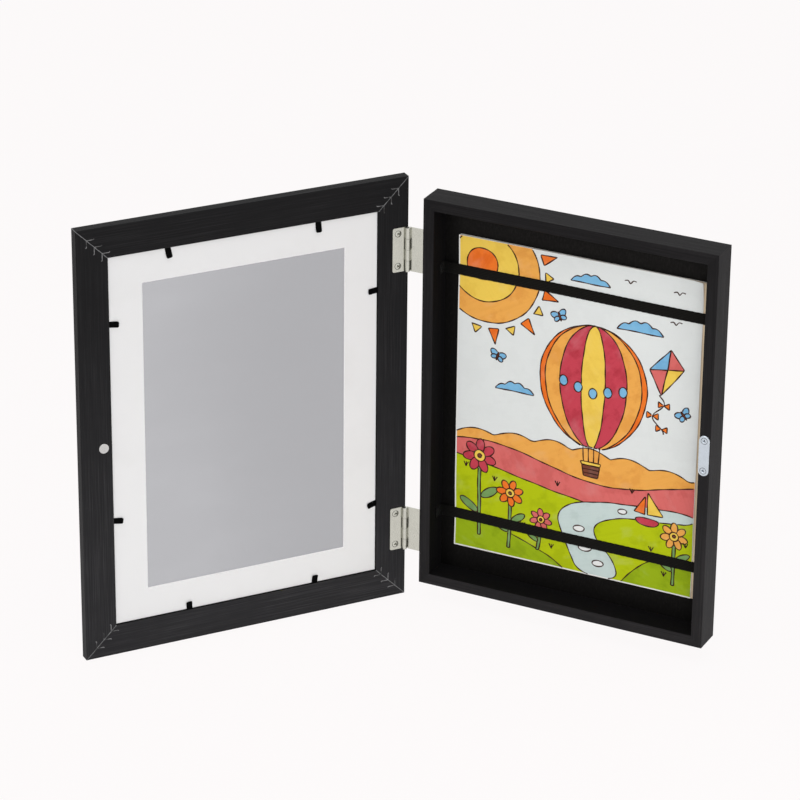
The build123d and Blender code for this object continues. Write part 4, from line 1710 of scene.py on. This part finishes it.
@dataclass
class DrawingSheet:
    """The front drawing: a slightly wavy sheet with a curled corner.

    Attributes:
        width: Width of the paper.
        height: Height of the paper.
        shift_x: Place of its middle across the case.
        shift_z: Place of its middle up the case.
        level: Height of its front face above the wall's plane.
        thickness: Its thickness.
        band_low: Height of the lower band's middle.
        band_high: Height of the upper band's middle.
        pressed: Distance from a band's middle within which the paper lies flat.
        freed: Length over which it rises from there.
        rise: Least height of the free paper.
        ripple: Height of its waves.
        ripple_span: Length of a wave across and up the sheet, in millimetres a radian.
        ripple_phase: Where the waves begin, in radians.
        edge_rise: How much more it rises at its sides.
        edge_reach: Distance from a side within which it does, in millimetres.
        curl: Height of the curled corner.
        curl_reach: Distance from the corner within which it curls, in millimetres.
        pull: How far the curl draws the corner in.
        pull_reach: Distance from the corner within which it does, in millimetres.
        margin: Bare margin at the left and at the foot, in millimetres.
        trim: Bare margin at the right and at the head, in millimetres.
        grid: Largest distance between two points of the mesh, in millimetres.
        jitter: How far its inner points are off a grid, in millimetres.
        grid_seed: Start of those random places.
        weld: Distance within which two points of the mesh are one, in millimetres.
        ink_width: Half of a pen line's width, in millimetres.
        ink_swell: How much that width varies, as a share.
        swell_rate: Radians of that from one point of a line to the next.
        ink_wobble: How far a line strays, in millimetres.
        wobble_rate: Radians of its straying from one point to the next.
        ink_height: Height of the ink above the paper.
        ink_seed: Start of the lines' random phases.
    """

    width: float = 0.2124
    height: float = 0.2776
    shift_x: float = 0.002
    shift_z: float = -0.0005
    level: float = 0.006
    thickness: float = 0.0003
    band_low: float = -0.1105
    band_high: float = 0.1077
    pressed: float = 0.006
    freed: float = 0.022
    rise: float = 0.0002
    ripple: float = 0.0004
    ripple_span: Point2 = (31.0, 47.0)
    ripple_phase: Point2 = (1.2, 0.4)
    edge_rise: float = 0.0002
    edge_reach: float = 40.0
    curl: float = 0.0012
    curl_reach: float = 20.0
    pull: float = 0.0004
    pull_reach: float = 16.0
    margin: float = 1.1
    trim: float = 0.3
    grid: float = 4.2
    jitter: float = 0.4
    grid_seed: int = 3
    weld: float = 1e-5
    ink_width: float = 0.5
    ink_swell: float = 0.22
    swell_rate: float = 0.5
    ink_wobble: float = 0.16
    wobble_rate: float = 0.23
    ink_height: float = 0.00007
    ink_seed: int = 8

    def nearness(self, u: float, v: float, reach: float) -> float:
        """A number that grows from 0, at a distance from the curled corner, to 1 at the corner."""
        distance = math.hypot(self.width / MM - u, self.height / MM - v)
        return max(0.0, 1 - distance / reach) ** 2

    def wave(self, u: float, v: float) -> float:
        """Height of the paper above its flat place.

        Args:
            u: Place across the sheet in millimetres.
            v: Place up the sheet in millimetres.

        Returns:
            The height in metres.
        """
        z = v * MM - self.height / 2 + self.shift_z
        away = min(abs(z - self.band_low), abs(z - self.band_high))
        free = min(1.0, max(0.0, (away - self.pressed) / self.freed))
        free = free * free * (3 - 2 * free)
        across, up = (math.sin(place / span + phase)
                      for place, span, phase in zip((u, v), self.ripple_span, self.ripple_phase))
        ripple = 0.5 + 0.5 * across * up
        edge = max(0.0, 1 - min(u, self.width / MM - u) / self.edge_reach) ** 2
        rise = free * (self.rise + self.ripple * ripple + self.edge_rise * edge)
        return rise + self.nearness(u, v, self.curl_reach) * self.curl

    def spot(self, u: float, v: float, lift: float) -> Vector:
        """Point on the paper in the row frame.

        Args:
            u: Place across the sheet in millimetres.
            v: Place up the sheet in millimetres.
            lift: Height above the paper's front face.

        Returns:
            The point.
        """
        pull = self.nearness(u, v, self.pull_reach) * self.pull
        x = self.shift_x - self.width / 2 + u * MM - pull
        z = self.shift_z - self.height / 2 + v * MM - pull
        return Vector((x, -(self.level + self.wave(u, v) + lift), z))

    def flat_mesh(self, sketch: Sketch) -> tuple[list[Point2], list[tuple[int, ...]], list[int]]:
        """Cuts the sheet into triangles along the outlines of all its shapes.

        Args:
            sketch: The drawing.

        Returns:
            Points in millimetres, triangles and each triangle's shape: its number from 1, 0 for the sky
            and -1 for bare paper.
        """
        wide, high = self.width / MM, self.height / MM
        right, head = wide - self.trim, high - self.trim
        paper = [(0.0, 0.0), (wide, 0.0), (wide, high), (0.0, high)]
        printed = [(self.margin, self.margin), (right, self.margin), (right, head), (self.margin, head)]
        outlines = [paper, printed, *(shape.outline for shape in sketch.shapes)]
        spots: list[Vector] = []
        edges: list[tuple[int, int]] = []
        for outline in outlines:
            loop = sketch.dense([*outline, outline[0]], self.grid)[:-1]
            first, count = len(spots), len(loop)
            edges += [(first + k, first + (k + 1) % count) for k in range(count)]
            spots += [Vector(point) for point in loop]
        columns, rows = round(wide / self.grid), round(high / self.grid)
        dice = random.Random(self.grid_seed)
        for column in range(1, columns):
            for row in range(1, rows):
                shift = dice.uniform(-self.jitter, self.jitter)
                spots.append(Vector((wide * column / columns + shift, high * row / rows - shift)))
        points, _, triangles, _, _, _ = delaunay_2d_cdt(spots, edges, [], 0, self.weld, False)
        centres = [sum((points[c] for c in t), Vector((0, 0))) / len(t) for t in triangles]
        middles = [(c.x, c.y) for c in centres]
        outside = -2
        owners = np.full(len(middles), outside)
        owners[inside(middles, paper)] = -1
        in_print = inside(middles, printed)
        owners[in_print] = 0
        for number, shape in enumerate(sketch.shapes, 1):
            owners[in_print & inside(middles, shape.outline)] = number
        kept = [number for number, owner in enumerate(owners) if owner > outside]
        corners = [tuple(triangles[number]) for number in kept]
        return [(p.x, p.y) for p in points], corners, [int(owners[number]) for number in kept]

    def build_paper(self, sketch: Sketch) -> bpy.types.Object:
        """Makes the coloured sheet.

        Args:
            sketch: The drawing.

        Returns:
            The piece that stands for the node.
        """
        points, triangles, owners = self.flat_mesh(sketch)
        pens = list(Pen)
        materials = [Paper((0.83, 0.82, 0.8)).material("bare_paper")]
        materials += [pen.paper().material(f"marker_{pen.name.lower()}") for pen in pens]
        inks = [Pen.SKY, *(shape.pen for shape in sketch.shapes)]
        slots = [0 if owner < 0 else pens.index(inks[owner]) + 1 for owner in owners]
        used = sorted({corner for triangle in triangles for corner in triangle})
        numbers = {old: new for new, old in enumerate(used)}
        solid = Solid()
        front = solid.ring([self.spot(*points[old], 0.0) for old in used])
        rear = solid.ring([self.spot(*points[old], -self.thickness) for old in used])
        solid.sheet(front, rear, [tuple(numbers[c] for c in triangle) for triangle in triangles], slots, 0)
        piece = solid.piece("marker_drawing", "case", materials, crease=30.0)
        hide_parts("art_sheet")
        return piece

    def build_ink(self, sketch: Sketch) -> bpy.types.Object:
        """Makes the dark pen lines on the sheet.

        Args:
            sketch: The drawing.

        Returns:
            The piece.
        """
        solid = Solid()
        dice = random.Random(self.ink_seed)
        for stroke in sketch.strokes():
            line = np.array(stroke)
            smooth = line.copy()
            smooth[1:-1] = (line[:-2] + 2 * line[1:-1] + line[2:]) / 4
            heading = np.gradient(smooth, axis=0)
            heading /= np.maximum(np.linalg.norm(heading, axis=1), 1e-9)[:, None]
            phase = dice.uniform(0, 6)
            lefts, rights = [], []
            for index, ((u, v), (du, dv)) in enumerate(zip(smooth, heading)):
                half = self.ink_width * (1 + self.ink_swell * math.sin(index * self.swell_rate + phase))
                wobble = self.ink_wobble * math.sin(index * self.wobble_rate + phase * 2)
                u, v = u - dv * wobble, v + du * wobble
                lefts.append(self.spot(u - dv * half, v + du * half, self.ink_height))
                rights.append(self.spot(u + dv * half, v - du * half, self.ink_height))
            solid.bridge(solid.ring(rights), solid.ring(lefts), closed=False)
        ink = Paper((0.05, 0.018, 0.012), 0.3, 1.0).material("brown_ink")
        piece = solid.piece("ink_lines", "case", [ink], crease=60.0)
        return piece


@dataclass
class StoredSheets:
    """Loose drawings kept behind the front one, their edges a little out of line.

    Attributes:
        width: Width of a sheet.
        height: Height of a sheet.
        shift_x: Place of the pile's middle across the case.
        shift_z: Place of the pile's middle up the case.
        low: Height of the pile's rear above the wall's plane.
        high: Height of its front.
        gap: Half of the air between two sheets.
        turn: Largest turn of a sheet either way, in degrees.
        slips: Shift of each sheet across and up, in millimetres.
        columns: Number of faces across a sheet.
        rows: Number of faces up a sheet.
        seed: Start of the random turns.
    """

    width: float = 0.2159
    height: float = 0.2772
    shift_x: float = 0.0041
    shift_z: float = -0.0011
    low: float = 0.003
    high: float = 0.0056
    gap: float = 0.00006
    turn: float = 0.16
    slips: tuple[Point2, ...] = ((-0.6, 0.2), (0.5, -0.1), (-0.3, 0.1), (0.7, 0.1), (0.2, 0.2), (0.6, -0.1))
    columns: int = 12
    rows: int = 14
    seed: int = 21

    def layer(self, lift: float, slip: Point2, turn: float) -> list[Vector]:
        """Points over one face of a sheet, row by row from its foot.

        Args:
            lift: Height of the face above the wall's plane.
            slip: Shift of the sheet across and up, in millimetres.
            turn: Its turn in radians.

        Returns:
            The points.
        """
        points = []
        for row in range(self.rows + 1):
            for column in range(self.columns + 1):
                u, v = (column / self.columns - 0.5) * self.width, (row / self.rows - 0.5) * self.height
                x = self.shift_x + slip[0] * MM + u * math.cos(turn) - v * math.sin(turn)
                z = self.shift_z + slip[1] * MM + u * math.sin(turn) + v * math.cos(turn)
                points.append(Vector((x, -lift, z)))
        return points

    def build(self) -> bpy.types.Object:
        """Makes the pile.

        Returns:
            The piece that stands for the node.
        """
        white = Paper((0.8, 0.79, 0.76)).material("stored_white")
        cream = Paper((0.82, 0.66, 0.47)).material("stored_cream")
        solid = Solid()
        dice = random.Random(self.seed)
        pitch = (self.high - self.low) / len(self.slips)
        step = self.columns + 1
        feet = [row * step + column for row in range(self.rows) for column in range(self.columns)]
        quads = [(k, k + 1, k + step + 1, k + step) for k in feet]
        for number, slip in enumerate(self.slips):
            turn = math.radians(dice.uniform(-self.turn, self.turn))
            floor = self.low + number * pitch
            rear = solid.ring(self.layer(floor + self.gap, slip, turn))
            front = solid.ring(self.layer(floor + pitch - self.gap, slip, turn))
            solid.sheet(front, rear, quads, [number % 2] * len(quads), number % 2)
        piece = solid.piece("loose_drawings", "case", [white, cream], crease=30.0)
        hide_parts("stored_sheets")
        return piece


@dataclass(frozen=True)
class Softbox:
    """A square soft lamp.

    Attributes:
        name: Name of the lamp.
        place: Where it hangs.
        aim: What it points at.
        size: Length of its sides.
        power: Its power in watts.
        mirrored: Whether gloss shows it.
    """

    name: str
    place: Triple
    aim: Triple
    size: float
    power: float
    mirrored: bool = True

    def build(self) -> bpy.types.Object:
        """Hangs the lamp.

        Returns:
            The lamp.
        """
        light = bpy.data.lights.new(self.name, "AREA")
        light.shape = "SQUARE"
        light.size = self.size
        light.energy = self.power
        lamp = bpy.data.objects.new(self.name, light)
        lamp.location = self.place
        lamp.rotation_euler = (Vector(self.aim) - Vector(self.place)).to_track_quat("-Z", "Y").to_euler()
        lamp.visible_glossy = self.mirrored
        bpy.context.scene.collection.objects.link(lamp)
        return lamp


@dataclass
class Studio:
    """Floor, surrounding light, lamps and camera.

    Attributes:
        floor_level: Height of the floor.
        floor_reach: Distance from the floor's middle to its edges.
        floor_tones: Darkest and palest colour of the floor.
        glow: Colour of the floor where a ray shows the backdrop.
        glow_share: How much of that colour such a ray shows.
        white: Colour of the backdrop behind the floor.
        sky: Colour of the light from all sides.
        ambient: Strength of that light.
        lamps: The lamps.
        position: Place of the camera.
        azimuth: Turn of the camera to the left, in radians.
        pitch: Its tilt down, in radians.
        roll: Its turn about its own line of sight, in radians.
        lens: Its focal length in millimetres.
        sensor: Width of its sensor in millimetres.
        sight: Distance to which it sees.
    """

    floor_level: float = -0.18703
    floor_reach: float = 9.0
    floor_tones: tuple[Colour, Colour] = ((0.83, 0.83, 0.83), (0.86, 0.86, 0.86))
    glow: Colour = (1.0, 0.975, 0.975)
    glow_share: float = 0.94
    white: Colour = (1.0, 1.0, 1.0)
    sky: Colour = (1.0, 0.995, 0.99)
    ambient: float = 0.5
    lamps: tuple[Softbox, ...] = (
        Softbox("overhead_softbox", (-0.1, -0.5, 2.1), (0, -0.05, 0), 1.8, 12.0),
        Softbox("front_softbox", (1.0, -2.3, 1.0), (-0.1, -0.1, 0), 1.4, 24.5),
        Softbox("side_fill", (0.55, -0.33, -0.1), (-0.2, -0.1, -0.02), 0.44, 0.7, mirrored=False),
    )
    position: Triple = (1.1466, -2.6433, 1.3331)
    azimuth: float = math.radians(26.283)
    pitch: float = math.radians(24.690)
    roll: float = math.radians(0.584)
    lens: float = 176.84
    sensor: float = 36.0
    sight: float = 60.0

    def floor(self) -> bpy.types.Object:
        """Makes the plain pale floor, which keeps a soft shadow.

        Returns:
            The floor.
        """
        recipe = Recipe("pale_floor", Roughness=0.9, Specular_IOR_Level=0.1)
        cloud = recipe.noise(recipe.position(), 3.0, 2.0)
        recipe.finish(Base_Color=recipe.mixed(cloud, *self.floor_tones))
        glow = recipe.node("Emission", {"Color": self.glow, "Strength": 1.0}).outputs[0]
        mesh = bpy.data.meshes.new("studio_floor")
        shape = bmesh.new()
        bmesh.ops.create_grid(shape, x_segments=8, y_segments=8, size=self.floor_reach)
        shape.to_mesh(mesh)
        shape.free()
        mesh.materials.append(recipe.covered(recipe.product(recipe.seen(), self.glow_share), glow))
        floor = bpy.data.objects.new("studio_floor", mesh)
        floor.location = (0, 0, self.floor_level)
        bpy.context.scene.collection.objects.link(floor)
        return floor

    def surroundings(self) -> None:
        """Sets a white world that lights the object softly."""
        world = bpy.data.worlds.new("soft_studio")
        world.use_nodes = True
        graph = NodeGraph(world.node_tree)
        shown = graph.node("Background", {"Color": self.white}).outputs[0]
        lit = graph.node("Background", {"Color": self.sky, "Strength": self.ambient}).outputs[0]
        mix = graph.node("MixShader", {0: graph.seen(), 1: lit, 2: shown}).outputs[0]
        graph.node("OutputWorld", {"Surface": mix})
        bpy.context.scene.world = world

    def camera(self) -> bpy.types.Object:
        """Makes the camera at the viewing angle of the picture.

        Returns:
            The camera.
        """
        data = bpy.data.cameras.new("studio_camera")
        data.lens = self.lens
        data.sensor_width = self.sensor
        data.clip_end = self.sight
        camera = bpy.data.objects.new("studio_camera", data)
        forward = Vector((-math.sin(self.azimuth) * math.cos(self.pitch),
                          math.cos(self.azimuth) * math.cos(self.pitch), -math.sin(self.pitch)))
        level = Vector((math.cos(self.azimuth), math.sin(self.azimuth), 0))
        upright = level.cross(forward)
        right = level * math.cos(self.roll) + upright * math.sin(self.roll)
        up = upright * math.cos(self.roll) - level * math.sin(self.roll)
        turn = Matrix((right, up, -forward)).transposed().to_4x4()
        camera.matrix_world = Matrix.Translation(self.position) @ turn
        bpy.context.scene.collection.objects.link(camera)
        bpy.context.scene.camera = camera
        return camera

    def build(self) -> None:
        """Sets up the whole studio."""
        bpy.context.scene.view_settings.view_transform = "Standard"
        self.floor()
        self.surroundings()
        for lamp in self.lamps:
            lamp.build()
        self.camera()


@dataclass
class ArtFrame:
    """The whole object, piece by piece.

    Attributes:
        layout: Sizes of the case and the door.
    """

    layout: Layout = field(default_factory=Layout)

    def build(self) -> None:
        """Dresses the carried-over nodes and builds the detailed pieces."""
        Rails(self.layout).dress()
        LOG.info("rails and back panel dressed")
        glazing = Glazing(self.layout.door())
        glazing.dress()
        LOG.info("built %s", glazing.build().name)
        metalwork = Metalwork(self.layout)
        metalwork.dress()
        for piece in metalwork.build():
            LOG.info("built %s", piece.name)
        sheet = DrawingSheet()
        braid = WovenElastic().material("black_braid")
        for place, level in (("upper", sheet.band_high), ("lower", sheet.band_low)):
            LOG.info("built %s", ElasticBand(f"{place}_elastic_band", level).build(braid).name)
        sketch = Sketch(sheet.width / MM, sheet.height / MM)
        LOG.info("built %s", sheet.build_paper(sketch).name)
        LOG.info("built %s", sheet.build_ink(sketch).name)
        LOG.info("built %s", StoredSheets().build().name)


def main() -> None:
    """Builds the studio and the object."""
    logging.basicConfig(level=logging.INFO, format="%(name)s: %(message)s")
    Studio().build()
    LOG.info("studio ready")
    ArtFrame().build()
    LOG.info("boxes written")


if __name__ == "__main__":
    main()
